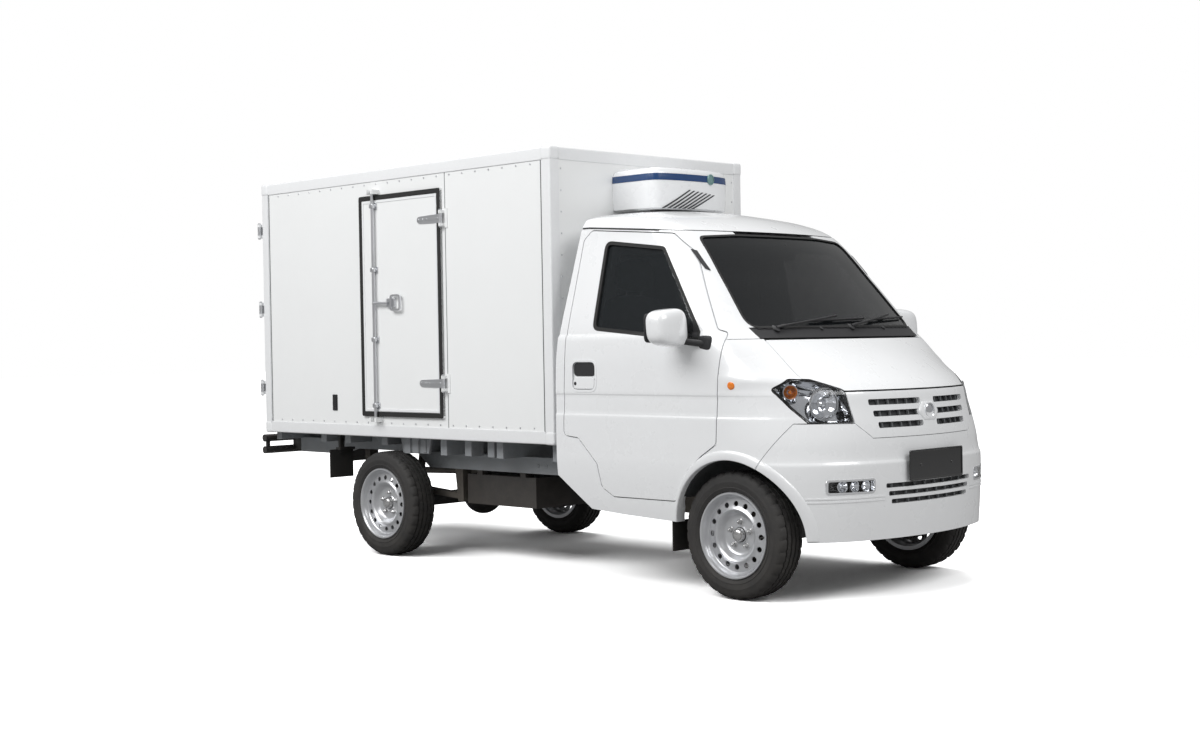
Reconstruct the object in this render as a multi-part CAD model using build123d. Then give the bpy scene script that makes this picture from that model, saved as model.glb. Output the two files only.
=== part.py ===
# Small refrigerated truck: a two-door cab, a ladder frame, an insulated body with a side
# door and rear doors, and a refrigeration unit over the cab.
# Lengths are millimetres. +X points forward, +Y to the left, +Z up. The origin is the
# centre of the truck's outline on the ground. Pieces are drawn with x counted from the
# front axle and are moved to the origin when they are written.
from build123d import *
from math import atan2, cos, hypot, pi, radians, sin, sqrt
import os

# Overall layout
wheelbase = 2515
track = 1310
front_overhang = 568
rear_overhang = 1212
axle_height = 285
seam = 0.3
running_fit = 0.05

# Tyres and wheels
tyre_radius = 285
tyre_width = 165
bead_radius = 178
flange_radius = 192.5
rim_width = 140
rim_wall = 9
flange_wall = 6
wheel_hole_radius = 12
wheel_hole_count = 16
wheel_hole_circle = 140
hub_radius = 42
stub_radius = 25

# Steering
steer_low_y = 600
steer_low_z = 170
steer_top_y = 480
steer_top_z = 640
pivot_pin_radius = 12
strut_radius = 22
strut_top = 588
tower_bottom = 596
tower_thickness = 26
arch_x = 18
arch_z = 290
arch_radius = 332
liner_x = 10
liner_radius = 346
liner_wall = 8
wheelhouse_inner_y = 402

# Ladder frame
rail_height = 85
rail_bottom = 475
front_rail_outer = 395
rear_rail_outer = 500
rail_width = 60
rail_front = 430
rail_rear = -3600
narrow_end = -450
wide_start = -850
kick_height = 80
kick_front = -2380
kick_rear = -3080
tail_drop = 35

# Load box
box_front = -1150
box_rear = -3640
box_half = 715
box_floor_z = 650
box_top_z = 2104
box_wall = 60
wall_recess = 2

# Cab
door_wall = 50
door_flange = 15
panel_wall = 25
glass_inset = 8
door_glass_wall = 5
door_gap = 7
door_step = 11
hood_gap = 5
belt_split = 1150
screen_bottom = 1200
roof_split = 1655
hood_side = 593
rear_post = 560
floor_z = 565
floor_wall = 25
firewall_rear = 35
firewall_wall = 23

# Cab door hinge axis
door_axis_x = -66
door_axis_y = 770.5
door_hinge_heights = (705, 985)
door_pin_radius = 2.5
door_eye_radius = 5

# Side door of the box
side_door_front = -2010
side_door_rear = -2650
side_door_bottom = 790
side_door_top = 1937
side_door_gap = 6
side_door_rear_gap = 12
side_door_lap = 30
side_door_flange = 12
side_axis_x = -1968
side_axis_out = 22
side_hinge_heights = (943, 1807)

# Rear doors of the box
rear_gap = 6
rear_axis_back = 22
rear_axis_out = 10
rear_hinge_heights = (909, 1372, 1836)
hinge_pin_radius = 5
hinge_barrel_radius = 10
hinge_barrel_height = 50

# Sections of the cab: each row is a level outline made of a nose arc, two corner arcs and two sides
# columns: height, nose x, corner x, corner y, half width, rear x, share of an inset that also sinks it
cab_sections = (
    (270, 556, 486, 450, 738, -1062, 0.0),
    (420, 564, 495, 450, 762, -1064, 0.0),
    (560, 568, 499, 450, 777, -1065, 0.0),
    (700, 556, 478, 450, 780, -1065, 0.0),
    (845, 530, 441, 450, 780, -1065, 0.1),
    (914, 516, 421, 455, 779, -1065, 0.2),
    (945, 488, 352, 530, 778.5, -1065, 0.5),
    (975, 446, 283, 590, 778, -1064, 0.6),
    (1050, 337, 190, 594, 777, -1062, 0.6),
    (1110, 233, 122, 596, 774, -1058, 0.6),
    (1150, 164, 74, 597, 769, -1054, 0.5),
    (1198, 110, 13, 614, 757, -1050, 0.4),
    (1642, -300, -373, 529, 650, -1015, 0.6),
    (1690, -378, -450, 515, 640, -1008, 0.8),
    (1735, -490, -575, 480, 612, -1004, 0.9),
    (1772, -650, -730, 330, 440, -1003, 1.0),
    (1795, -830, -870, 130, 180, -1003, 1.0),
)

# Outlines of the cab's side, x and z
door_outline = (
    (-20, 1180), (-43, 687), (-130, 634), (-217, 564), (-275, 484), (-296, 420),
    (-699, 420), (-772, 463), (-795, 575), (-915, 690), (-1015, 700), (-1000, 1200),
    (-985, 1640), (-935, 1686), (-428, 1646), (-298, 1548), (-68, 1195),
)
door_window = ((-832, 1202), (-834, 1630), (-442, 1583), (-104, 1135))
cab_side_outline = (
    (-43, 687), (-130, 634), (-217, 564), (-275, 484), (-296, 420), (-300, 327),
    (-653, 342), (-854, 356), (-1061, 507), (-1090, 507), (-1090, roof_split + 43),
    (-955, roof_split + 43), (-428, roof_split + 3), (-200, roof_split), (200, 1198),
    (200, belt_split), (-21.4, belt_split),
)
bumper_seam = ((158, 585), (301, 780))

# Outlines of the cab's front, y and z on one side
screen_outline = ((-612, 1200), (612, 1200), (530, 1628), (300, 1640), (-300, 1640), (-530, 1628))
headlight_outline = ((700, 929), (640, 972), (560, 967), (459, 920), (447, 775), (622, 778), (662, 847))
bumper_top = ((371, 709), (447, 775), (622, 778), (690, 780))
grille_side = ((459, 914), (446.4, 775.4), (371, 709 + seam))
rear_window_outline = ((-440, 1260), (440, 1260), (425, 1580), (-425, 1580))

pieces = {}


def block(x0, x1, y0, y1, z0, z1):
    """Box between six coordinates."""
    size = (abs(x1 - x0), abs(y1 - y0), abs(z1 - z0))
    return Pos((x0 + x1) / 2, (y0 + y1) / 2, (z0 + z1) / 2) * Box(*size)


def side_prism(outline, y0, y1):
    """Outline in x and z, drawn out from y0 to y1."""
    face = Face(Wire.make_polygon([(x, y0, z) for x, z in outline]))
    return Part() + Solid.extrude(face, Vector(0, y1 - y0, 0))


def front_prism(outline, x0, x1):
    """Outline in y and z, drawn out from x0 to x1."""
    face = Face(Wire.make_polygon([(x0, y, z) for y, z in outline]))
    return Part() + Solid.extrude(face, Vector(x1 - x0, 0, 0))


def plan_prism(outline, z0, z1):
    """Outline in x and y, drawn out from z0 to z1."""
    face = Face(Wire.make_polygon([(x, y, z0) for x, y in outline]))
    return Part() + Solid.extrude(face, Vector(0, 0, z1 - z0))


def rod(start, end, radius):
    """Round bar between two points."""
    path = Vector(end) - Vector(start)
    return Plane(origin=Vector(start), z_dir=path) * Cylinder(
        radius, path.length, align=(Align.CENTER, Align.CENTER, Align.MIN))


def mirrored(shape):
    """The same piece on the other side of the truck."""
    return Part() + shape.mirror(Plane.XZ)


def both_sides(shape):
    """A piece and its mirror image."""
    return Part() + [shape, mirrored(shape)]


def inset(outline, distance):
    """Outline moved inwards by one distance all round."""
    count = len(outline)
    area = sum(outline[i][0] * outline[(i + 1) % count][1] - outline[(i + 1) % count][0] * outline[i][1]
               for i in range(count))
    turn = 1 if area > 0 else -1
    moved = []
    for i in range(count):
        (ax, az), (bx, bz), (cx, cz) = outline[i - 1], outline[i], outline[(i + 1) % count]
        first = hypot(bx - ax, bz - az)
        second = hypot(cx - bx, cz - bz)
        n1 = (-(bz - az) / first * turn, (bx - ax) / first * turn)
        n2 = (-(cz - bz) / second * turn, (cx - bx) / second * turn)
        share = distance / (1 + n1[0] * n2[0] + n1[1] * n2[1])
        moved.append((bx + (n1[0] + n2[0]) * share, bz + (n1[1] + n2[1]) * share))
    return moved


def cab_wire(height, nose_x, corner_x, corner_y, half, rear_x, sink, depth):
    """Level outline of the cab, moved inwards and down by a depth."""
    drop = nose_x - corner_x
    nose_radius = (corner_y ** 2 + drop ** 2) / (2 * drop)
    sine = corner_y / nose_radius
    cosine = sqrt(1 - sine ** 2)
    corner_radius = (half - corner_y) / (1 - sine)
    centre_x = corner_x - corner_radius * cosine
    centre_y = half - corner_radius
    middle = (atan2(sine, cosine) + pi / 2) / 2
    radius = corner_radius - depth
    z = height - sink * depth
    side = (centre_x, half - depth)
    bend = (centre_x + radius * cos(middle), centre_y + radius * sin(middle))
    corner = (centre_x + radius * cosine, centre_y + radius * sine)
    nose = (nose_x - depth, 0)
    rear = (rear_x + depth, half - depth)
    right = [Vector(x, -y, z) for x, y in (rear, side, bend, corner, nose)]
    left = [Vector(x, y, z) for x, y in (rear, side, bend, corner, nose)]
    return Wire([
        Edge.make_line(left[0], right[0]),
        Edge.make_line(right[0], right[1]),
        Edge.make_three_point_arc(right[1], right[2], right[3]),
        Edge.make_three_point_arc(right[3], right[4], left[3]),
        Edge.make_three_point_arc(left[3], left[2], left[1]),
        Edge.make_line(left[1], left[0]),
    ])


def cab_row(height):
    """Row of the cab's sections at any height, between its two neighbours."""
    for low, high in zip(cab_sections, cab_sections[1:]):
        if low[0] <= height <= high[0]:
            share = (height - low[0]) / (high[0] - low[0])
            return [a + share * (b - a) for a, b in zip(low, high)]


def cab_form(depth):
    """The cab's outer form, or the form one depth inside it, open below."""
    wires = []
    for index, row in enumerate(cab_sections):
        height = row[0] - (30 if index == 0 and depth > 0 else 0)
        wires.append(cab_wire(height, *row[1:], depth))
    return Part() + Solid.make_loft(wires, ruled=True)


def arch_cut(x, radius, y0, y1):
    """Round wheel opening across both sides."""
    return Part() + [rod((x, s * y0, arch_z), (x, s * y1, arch_z), radius) for s in (-1, 1)]


# Cab forms and shells
outer_form = cab_form(0)
glass_form = cab_form(glass_inset)
flange_form = cab_form(door_flange)
door_glass_form = cab_form(door_flange + door_glass_wall)
panel_form = cab_form(panel_wall)
inner_form = cab_form(door_wall)
panel_shell = outer_form - panel_form
thick_shell = outer_form - inner_form
arch = arch_cut(arch_x, arch_radius, wheelhouse_inner_y, 900)

screen_cut = front_prism(screen_outline, -430, 300)
cowl_zone = front_prism(((-606, belt_split), (606, belt_split), (614, screen_bottom), (-614, screen_bottom)),
                        -60, 300)
headlights_zone = Part() + [
    front_prism([(s * y, z) for y, z in headlight_outline], 150, 600) for s in (-1, 1)]

# Windshield and rear window
screen_pane = front_prism(inset(screen_outline, seam), -430, 300)
pieces["windshield"] = (outer_form - glass_form) & screen_pane
pieces["rear_window"] = (outer_form - glass_form) & front_prism(inset(rear_window_outline, seam), -1100, -950)

# Roof
roof_zone = side_prism(((-1100, roof_split + 43 + seam), (-955, roof_split + 43 + seam),
                        (-428, roof_split + 3 + seam), (-200, roof_split + seam), (-200, 1900), (-1100, 1900)),
                       -900, 900)
pieces["roof"] = thick_shell & roof_zone

# Rear wall of the cab between its corner posts
rear_zone = block(-1100, -950, -rear_post, rear_post, floor_z, 1900) - roof_zone
roof_gap = side_prism(((-1100, roof_split + 43), (-900, roof_split + 39), (-900, 1900), (-1100, 1900)), -900, 900)
pieces["rear_panel"] = (thick_shell & rear_zone) - roof_gap - front_prism(rear_window_outline, -1100, -950)

# Cowl between the hood and the windshield
pieces["cowl"] = panel_shell & front_prism(
    ((-606 + seam, belt_split + seam), (606 - seam, belt_split + seam),
     (612, screen_bottom - seam), (-612, screen_bottom - seam)), -60, 300)

# Hood, which lifts about the hinges in its rear corners
hood_axis = (82, 1138)
hood_rear = 1141
hood_ear = (566, 580)
hood_pin_radius = 4
hood_headlight = Part() + [
    front_prism(inset([(s * y, z) for y, z in headlight_outline], -hood_gap), 150, 600) for s in (-1, 1)]
behind_hood = Part() + Solid.extrude(Face(cab_wire(*cab_row(hood_rear), 3)), Vector(0, 0, 160))
hood = panel_shell & block(60, 700, -hood_side + hood_gap, hood_side - hood_gap, 914 + hood_gap, hood_rear)
hood -= hood_headlight
hood -= Pos(0, 0, -80) * behind_hood
for s in (-1, 1):
    near = (hood_axis[0], s * hood_ear[0], hood_axis[1])
    far = (hood_axis[0], s * hood_ear[1], hood_axis[1])
    hood += rod(near, far, 9)
    hood += block(hood_axis[0], hood_axis[0] + 48, s * hood_ear[0], s * hood_ear[1],
                  hood_axis[1] - 18, hood_rear) & outer_form
    hood -= rod((hood_axis[0], s * (hood_ear[1] + 0.7), hood_axis[1]), (hood_axis[0], s * 600, hood_axis[1]), 22)
    hood -= rod((hood_axis[0], s * (hood_ear[0] - 1), hood_axis[1]), (hood_axis[0], s * (hood_ear[1] + 1), hood_axis[1]),
                hood_pin_radius + running_fit)
pieces["hood"] = hood

# Grille with three rows of slots
grille_zone = front_prism([(-y, z) for y, z in grille_side] + [(y, z) for y, z in reversed(grille_side)], 250, 700)
grille = panel_shell & grille_zone
for row, half in ((765, 330), (815, 345), (865, 360)):
    for s in (-1, 1):
        grille -= block(300, 700, s * 20, s * half, row - 14, row + 14)
pieces["grille"] = grille - headlights_zone

# Bumper with its lower intake and lamp pockets
bumper_outline = [(-690, 200), (690, 200)] + [(y, z) for y, z in reversed(bumper_top)]
bumper_outline += [(-y, z) for y, z in bumper_top]
bumper_zone = front_prism(bumper_outline, 100, 700)
bumper_side = side_prism((bumper_seam[0], bumper_seam[1], (700, 780), (700, 200), (150, 200)), -900, 900)
bumper_wide = Part() + [front_prism(((s * 689, 200), (s * 900, 200), (s * 900, 780), (s * 689, 780)), 100, 700)
                        for s in (-1, 1)]
bumper = panel_shell & bumper_side & (bumper_zone + bumper_wide)
bumper -= arch
bumper -= headlights_zone
for row in (432, 467, 502):
    bumper -= block(400, 700, -300, 300, row - 11, row + 11)
lamp_pocket = Part() + [block(300, 700, s * 385, s * 600, 478, 537) for s in (-1, 1)]
bumper -= lamp_pocket
pieces["bumper"] = bumper

# Lamps in the nose: the main lamps and the low lamps
front_lamps = thick_shell & (Part() + [
    front_prism(inset([(s * y, z) for y, z in headlight_outline], seam), 150, 600) for s in (-1, 1)])
low_lamps = panel_shell & (Part() + [
    block(300, 700, s * (385 + seam), s * (600 - seam), 478 + seam, 537 - seam) for s in (-1, 1)])
pieces["front_lamps"] = front_lamps + low_lamps

# Fenders from the bumper to the door, with the strip behind the wheel
fender_outline = (
    (-20 + 0.6, belt_split - seam), (600, belt_split - seam), (600, 200), (-300, 200),
    (-299.4, 327), (-295.4, 420), (-274.4, 484), (-216.4, 564 - 0.5), (-129.4, 634 - 0.7), (-42.4, 687 - 0.7),
)
fender = panel_shell & side_prism(fender_outline, -900, -300)
fender -= side_prism((bumper_seam[0], bumper_seam[1], (301, 780.3), (700, 780.3), (700, 200), (150, 200)), -900, -688)
fender -= front_prism([(-y, z + seam) for y, z in bumper_top] + [(-700, 780.3), (-700, 200), (-300, 200)], 60, 700)
fender -= block(-400, 700, -hood_side, 0, 100, 1300)
fender -= headlights_zone
fender -= arch
fender -= block(-400, 700, -900, 0, 100, 340)
pieces["fender_right"] = fender
pieces["fender_left"] = mirrored(fender)

# Cab sides: windshield post, door frame, sill and rear corner
cab_side = thick_shell & side_prism(cab_side_outline, -900, -300)
cab_side -= side_prism(door_outline, -900, -400)
cab_side -= front_prism(screen_outline, -430, 300)
cab_side -= cowl_zone
cab_side -= block(-1200, -940, -rear_post - seam, 0, 200, 1900)
cab_side -= block(-430, 300, -hood_side, 0, 1000, belt_split)
cab_side -= arch
riser = side_prism(((-330, 340), (-653, 347), (-854, 361), (-1000, 468), (-1000, floor_z), (-330, floor_z)),
                   -652, -640)
cab_side += side_prism(((-300, 332), (-653, 347), (-840, 358), (-840, 366), (-653, 357), (-300, 342)), -735, -640)
cab_side += block(-700, -302, -735, -640, 404, 416)
cab_side += riser
cab_side -= arch_cut(liner_x, liner_radius + liner_wall + seam, wheelhouse_inner_y, 700)
pillar = side_prism(((-43, 687), (-20, 1180), (20, 1180), (20, 648), (-45, 648)), -760, -660)
cab_side += (pillar & panel_form) - cowl_zone
for z in door_hinge_heights:
    eye_z = door_eye_radius + 4.5
    strap = rod((door_axis_x, -door_axis_y, z - eye_z), (door_axis_x, -door_axis_y, z + eye_z), door_eye_radius)
    strap += rod((door_axis_x, -door_axis_y, z - 20), (door_axis_x, -door_axis_y, z + 20), door_pin_radius)
    strap += block(door_axis_x - 5, door_axis_x + 5, -door_axis_y, -733, z - eye_z, z + eye_z)
    strap += block(door_axis_x - 5, -15, -740, -733, z - eye_z, z + eye_z)
    cab_side += strap
pieces["cab_side_right"] = cab_side
pieces["cab_side_left"] = mirrored(cab_side)

# Cab doors, with the outer skin wider than the part behind it
door_skin = (outer_form - flange_form) & side_prism(inset(door_outline, door_gap), -900, -575)
door_body = (flange_form - inner_form) & side_prism(inset(door_outline, door_gap + door_step), -900, -575)
door = door_skin + door_body
door -= side_prism(door_window, -900, -400)
door -= arch_cut(arch_x, arch_radius + door_gap, 600, 900)
for z in door_hinge_heights:
    door -= block(door_axis_x - 24, 0, -door_axis_y + 5.5, -700, z - 25, z + 25)
    door -= block(door_axis_x - 6, 0, -door_axis_y - 5.5, -700, z - 10.5, z + 10.5)
    door -= rod((door_axis_x, -door_axis_y, z - 22), (door_axis_x, -door_axis_y, z + 22),
                door_pin_radius + running_fit)
handle = block(-905, -835, -792, -784, 985, 1003) + block(-905, -893, -792, -775, 985, 1003)
handle += block(-847, -835, -792, -775, 985, 1003)
door += handle
pieces["door_right"] = door
pieces["door_left"] = mirrored(door)
door_glass = (flange_form - door_glass_form) & side_prism(inset(door_window, seam), -900, -400)
pieces["door_glass_right"] = door_glass
pieces["door_glass_left"] = mirrored(door_glass)

# Door mirrors on a short arm at the front corner of each window
mirror_arm = side_prism(((-150, 1150), (-85, 1112), (-85, 1150), (-150, 1196)), -800, -762)
mirror_case = plan_prism(((-165, -780), (-165, -975), (-190, -985), (-275, -975), (-295, -930), (-295, -800),
                          (-270, -780)), 1125, 1285)
pieces["mirror_right"] = (mirror_case + mirror_arm + block(-225, -140, -790, -772, 1140, 1190)) - outer_form
pieces["mirror_left"] = mirrored(pieces["mirror_right"])

# Cab floor with the wheelhouses, the firewall and the raised box over the engine
floor = block(-1014, firewall_rear, -722, 722, floor_z, floor_z + floor_wall)
seat_base = (-950, -420, 655, 770)
seat_box = block(seat_base[0], seat_base[1], -seat_base[2], seat_base[2], floor_z, seat_base[3])
seat_room = block(seat_base[0] + 20, seat_base[1] - 20, -seat_base[2] + 20, seat_base[2] - 20, 500, seat_base[3] - 15)
floor += seat_box
floor -= seat_room
firewall = block(firewall_rear, firewall_rear + firewall_wall, -740, 740, floor_z, belt_split + 40)
floor += firewall & panel_form
hump = (-92, 92, 322, wheelhouse_inner_y + liner_wall, tower_bottom + tower_thickness + 12)
for s in (-1, 1):
    liner = rod((liner_x, s * wheelhouse_inner_y, arch_z), (liner_x, s * 706, arch_z), liner_radius + liner_wall)
    liner &= block(-400, 400, -744, 744, floor_z - 130, 1000)
    outer_liner = rod((liner_x, s * 705, arch_z), (liner_x, s * 800, arch_z), liner_radius + liner_wall)
    outer_liner &= block(-30, 400, -800, 800, floor_z - 130, 1000)
    floor += (liner + outer_liner) & panel_form
    floor += block(hump[0], hump[1], s * hump[2], s * hump[3], floor_z, hump[4])
for s in (-1, 1):
    floor -= rod((liner_x, s * (wheelhouse_inner_y + liner_wall), arch_z), (liner_x, s * 900, arch_z), liner_radius)
    floor -= block(hump[0] + liner_wall, hump[1] - liner_wall, s * (hump[2] + liner_wall), s * (hump[3] + 1),
                   floor_z - 1, hump[4] - liner_wall)
floor = floor & panel_form
for s in (-1, 1):
    near, far = s * (hood_ear[1] + 1), s * (hood_side - hood_gap)
    floor += block(firewall_rear + 10, hood_axis[0], near, far, hood_axis[1] - 7, hood_axis[1] + 7)
    floor += rod((hood_axis[0], near, hood_axis[1]), (hood_axis[0], far, hood_axis[1]), 7)
    floor += rod((hood_axis[0], s * (hood_ear[0] + 2), hood_axis[1]), (hood_axis[0], far, hood_axis[1]),
                 hood_pin_radius)
pieces["cab_floor"] = floor

# Dashboard with the steering column
dash_outline = ((firewall_rear - seam, 780), (firewall_rear - seam, 1135), (-110, 1128), (-190, 1050),
                (-185, 880), (-90, 780))
dash = side_prism(dash_outline, -659, 659) & cab_form(door_wall + 6)
steering_centre = Vector(-330, 360, 1060)
column_direction = Vector(1, 0, -1).normalized()
column_start = steering_centre + column_direction * 26
column_end = steering_centre + column_direction * 280
dash += rod(column_start, column_end, 24)
dash -= rod((column_start - column_direction * 5), (column_start + column_direction * 60),
            12 + running_fit)
pieces["dashboard"] = dash

# Steering wheel on its shaft
wheel_plane = Plane(origin=steering_centre, z_dir=-column_direction)
steering_wheel = wheel_plane * Torus(185, 13)
steering_wheel += wheel_plane * Pos(0, 0, -5) * Cylinder(52, 40)
for angle in (90, 210, 330):
    reach = (185 * cos(radians(angle)), 185 * sin(radians(angle)))
    steering_wheel += wheel_plane * rod((0, 0, -4), (reach[0], reach[1], 0), 11)
steering_wheel += rod(steering_centre, (column_start + column_direction * 50), 12)
pieces["steering_wheel"] = steering_wheel

# Seats with backs and head rests
seat = side_prism(((-860, 770), (-440, 770), (-425, 840), (-450, 872), (-860, 850)), 130, 600)
seat += side_prism(((-945, 771), (-840, 771), (-850, 900), (-885, 1370), (-960, 1370)), 140, 590)
seat += side_prism(((-905, 1370), (-890, 1540), (-965, 1540), (-960, 1370)), 250, 480)
pieces["seats"] = both_sides(seat)

# Ladder frame with its cross members, cab pads, towers and the bearers of the box
kick_bottom = rail_bottom + kick_height
rail_side = (
    (rail_front, rail_bottom), (kick_front, rail_bottom), (kick_front - 110, kick_bottom), (kick_rear, kick_bottom),
    (kick_rear - 130, kick_bottom - tail_drop), (rail_rear, kick_bottom - tail_drop),
    (rail_rear, kick_bottom - tail_drop + rail_height), (kick_rear - 130, kick_bottom - tail_drop + rail_height),
    (kick_rear + 40, kick_bottom + rail_height), (kick_front - 110, kick_bottom + rail_height),
    (kick_front, rail_bottom + rail_height), (rail_front, rail_bottom + rail_height),
)
rail_plan = (
    (rail_front, front_rail_outer), (narrow_end, front_rail_outer), (wide_start, rear_rail_outer),
    (rail_rear, rear_rail_outer), (rail_rear, rear_rail_outer - rail_width),
    (wide_start, rear_rail_outer - rail_width), (narrow_end, front_rail_outer - rail_width),
    (rail_front, front_rail_outer - rail_width),
)
rail_top = rail_bottom + rail_height
frame = Part()
for s in (-1, 1):
    frame += side_prism(rail_side, s * 300, s * 600) & plan_prism([(x, s * y) for x, y in rail_plan], 400, 700)
# columns: front x, rear x, bottom z, top z, half length
cross_members = (
    (rail_front, rail_front - 50, 478, 552, front_rail_outer - 20),
    (-300, -360, 478, 540, front_rail_outer - 20),
    (-1300, -1360, 485, 550, rear_rail_outer - 20),
    (-2240, -2300, 485, 550, rear_rail_outer - 20),
    (-3150, -3210, 560, 610, rear_rail_outer - 20),
    (rail_rear + 60, rail_rear, kick_bottom - tail_drop, 600, rear_rail_outer - 20),
)
for x0, x1, z0, z1, half in cross_members:
    frame += block(x0, x1, -half, half, z0, z1)
for x0, x1 in ((340, 400), (-290, -350), (-940, -1000)):
    for s in (-1, 1):
        inner = front_rail_outer - rail_width if x1 > wide_start else rear_rail_outer - rail_width
        frame += block(x0, x1, s * inner, s * (inner + rail_width), rail_top - 1, floor_z)
bearer_width = 50
for x in (box_front - 30, -1600, -2050, -2360, -3130, box_rear + 60):
    frame += block(x, x - bearer_width, -650, 650, rail_top - 1 if x > kick_front else 600, box_floor_z)
for x in (-2560, -2900):
    frame += block(x, x - bearer_width, -650, 650, 600, box_floor_z)
for s in (-1, 1):
    tower = block(-70, 70, s * (front_rail_outer - rail_width), s * front_rail_outer, rail_top - 1, tower_bottom + 4)
    tower += block(-70, 70, s * (front_rail_outer - rail_width), s * 560, tower_bottom, tower_bottom + tower_thickness)
    frame += tower
steer_low = Vector(0, -steer_low_y, steer_low_z)
steer_top = Vector(0, -steer_top_y, steer_top_z)
steer_axis = (steer_top - steer_low).normalized()
for s in (-1, 1):
    top = (0, s * steer_top_y, steer_top_z)
    low = (0, s * steer_low_y, steer_low_z)
    frame -= rod(low, tuple(b + 0.2 * (b - a) for a, b in zip(low, top)), pivot_pin_radius + running_fit)
pieces["frame"] = frame

# Front cross member with the lower arms
arm_eye_low = steer_low - steer_axis * 14
arm_eye_high = steer_low + steer_axis * 14
arm_eye = rod(arm_eye_low, arm_eye_high, 24)
arm = rod((0, -steer_low_y + 20, steer_low_z - 9), (0, -300, 262), 11)
arm += rod((0, -steer_low_y + 26, steer_low_z - 4), (-150, -320, 250), 10)
arm += block(-175, -125, -345, -295, 225, 300)
arm += arm_eye
arm -= rod((steer_low - steer_axis * 30), (steer_low + steer_axis * 30),
           pivot_pin_radius + running_fit)
suspension = block(-175, 60, -front_rail_outer + rail_width + 20, front_rail_outer - rail_width - 20, 290, 370)
suspension += block(-60, 60, -370, 370, 240, 372)
for s in (-1, 1):
    suspension += block(-60, 60, s * (front_rail_outer - rail_width), s * (front_rail_outer - 5), 300, rail_bottom)
suspension += arm
suspension += mirrored(arm)
pieces["front_suspension"] = suspension

# Steering knuckles with their struts, brake plates and stub axles
wheel_y = track / 2
knuckle = rod((steer_low + steer_axis * 14.6), (steer_low + steer_axis * 60), 26)
knuckle += rod((steer_low - steer_axis * 26), (steer_low + steer_axis * 30), pivot_pin_radius)
knuckle += rod((steer_low + steer_axis * 40), (0, -594, axle_height), 26)
knuckle += rod((0, -575, axle_height), (0, -630, axle_height), 52)
knuckle += rod((0, -585, axle_height), (steer_low + steer_axis * 225), 20)
strut_foot = steer_low + steer_axis * 200
strut_end = steer_low + steer_axis * ((strut_top - steer_low_z) / steer_axis.Z)
knuckle += rod(strut_foot, strut_end, strut_radius)
knuckle += rod(strut_end, (strut_end + steer_axis * 30), pivot_pin_radius)
knuckle += rod((0, -628, axle_height), (0, -638, axle_height), 135)
knuckle += rod((0, -600, axle_height), (0, -wheel_y - 46, axle_height), stub_radius)
pieces["knuckle_right"] = knuckle
pieces["knuckle_left"] = mirrored(knuckle)

# Rear axle with its drums, the drive shaft and the spring seats
axle_x = -wheelbase
rear_axle = rod((axle_x, -575, axle_height), (axle_x, 575, axle_height), 38)
rear_axle += Pos(axle_x, 0, axle_height) * Sphere(115)
for s in (-1, 1):
    rear_axle += rod((axle_x, s * 565, axle_height), (axle_x, s * 612, axle_height), 130)
    rear_axle += rod((axle_x, s * 600, axle_height), (axle_x, s * (wheel_y + 46), axle_height), stub_radius)
    rear_axle += block(axle_x - 60, axle_x + 60, s * 438, s * 502, axle_height + 20, axle_height + 48)
    rear_axle += block(axle_x - 45, axle_x, s * 385, s * 432, 228, 285)
shaft_end = (-1250, 0, 420)
rear_axle += rod((axle_x + 60, 0, 292), (-1300, 0, 418), 30)
rear_axle += rod((shaft_end[0] - seam, 0, 420), (shaft_end[0] - 60, 0, 420), 48)
pieces["rear_axle"] = rear_axle

# Rear leaf springs with hangers, shackles and shock absorbers
pad_top = axle_height + 48
spring = side_prism(((-2120, 312), (-2120, 340), (axle_x + 80, pad_top + 29), (axle_x - 80, pad_top + 29),
                     (-2945, 372), (-2945, 346), (axle_x - 80, pad_top), (axle_x + 80, pad_top)), -497, -443)
spring += side_prism(((-2165, rail_bottom), (-2100, rail_bottom), (-2098, 300), (-2142, 300)), -500, -440)
spring += side_prism(((-2965, kick_bottom), (-2920, kick_bottom), (-2925, 335), (-2960, 335)), -500, -440)
shock = rod((axle_x - 85, -410, 252), (axle_x - 30, -410, 585), 21)
shock += block(axle_x - 100, axle_x - 45 - seam, -428, -390, 232, 272)
shock += block(axle_x - 50, axle_x - 10, -rear_rail_outer + rail_width, -390, 565, 600)
pieces["rear_springs"] = both_sides(spring + shock)

# Engine block under the seats with the gearbox
engine = block(-900, -440, -220, 220, 300, 735)
engine += block(shaft_end[0], -895, -120, 120, 330, 520)
for s in (-1, 1):
    engine += side_prism(((-480, 485), (-540, 485), (-540, 535), (-480, 535)),
                         s * 200, s * (front_rail_outer - rail_width + 5))
pieces["engine"] = engine

# Radiator behind the nose
radiator = block(385, 420, -330, 330, 552, 880)
radiator += block(385, 425, -300, 300, 500, 560)
pieces["radiator"] = radiator - block(rail_front - 51, rail_front + 1, -400, 400, 470, 552 + seam)

# Fuel tank hung from the right rail
tank = block(-2060, -1520, -500, -70, 295, 452)
for x in (-1620, -1960):
    tank += block(x - 20, x + 20, -rear_rail_outer, -rear_rail_outer + rail_width, 450, rail_bottom)
pieces["fuel_tank"] = tank

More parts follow.
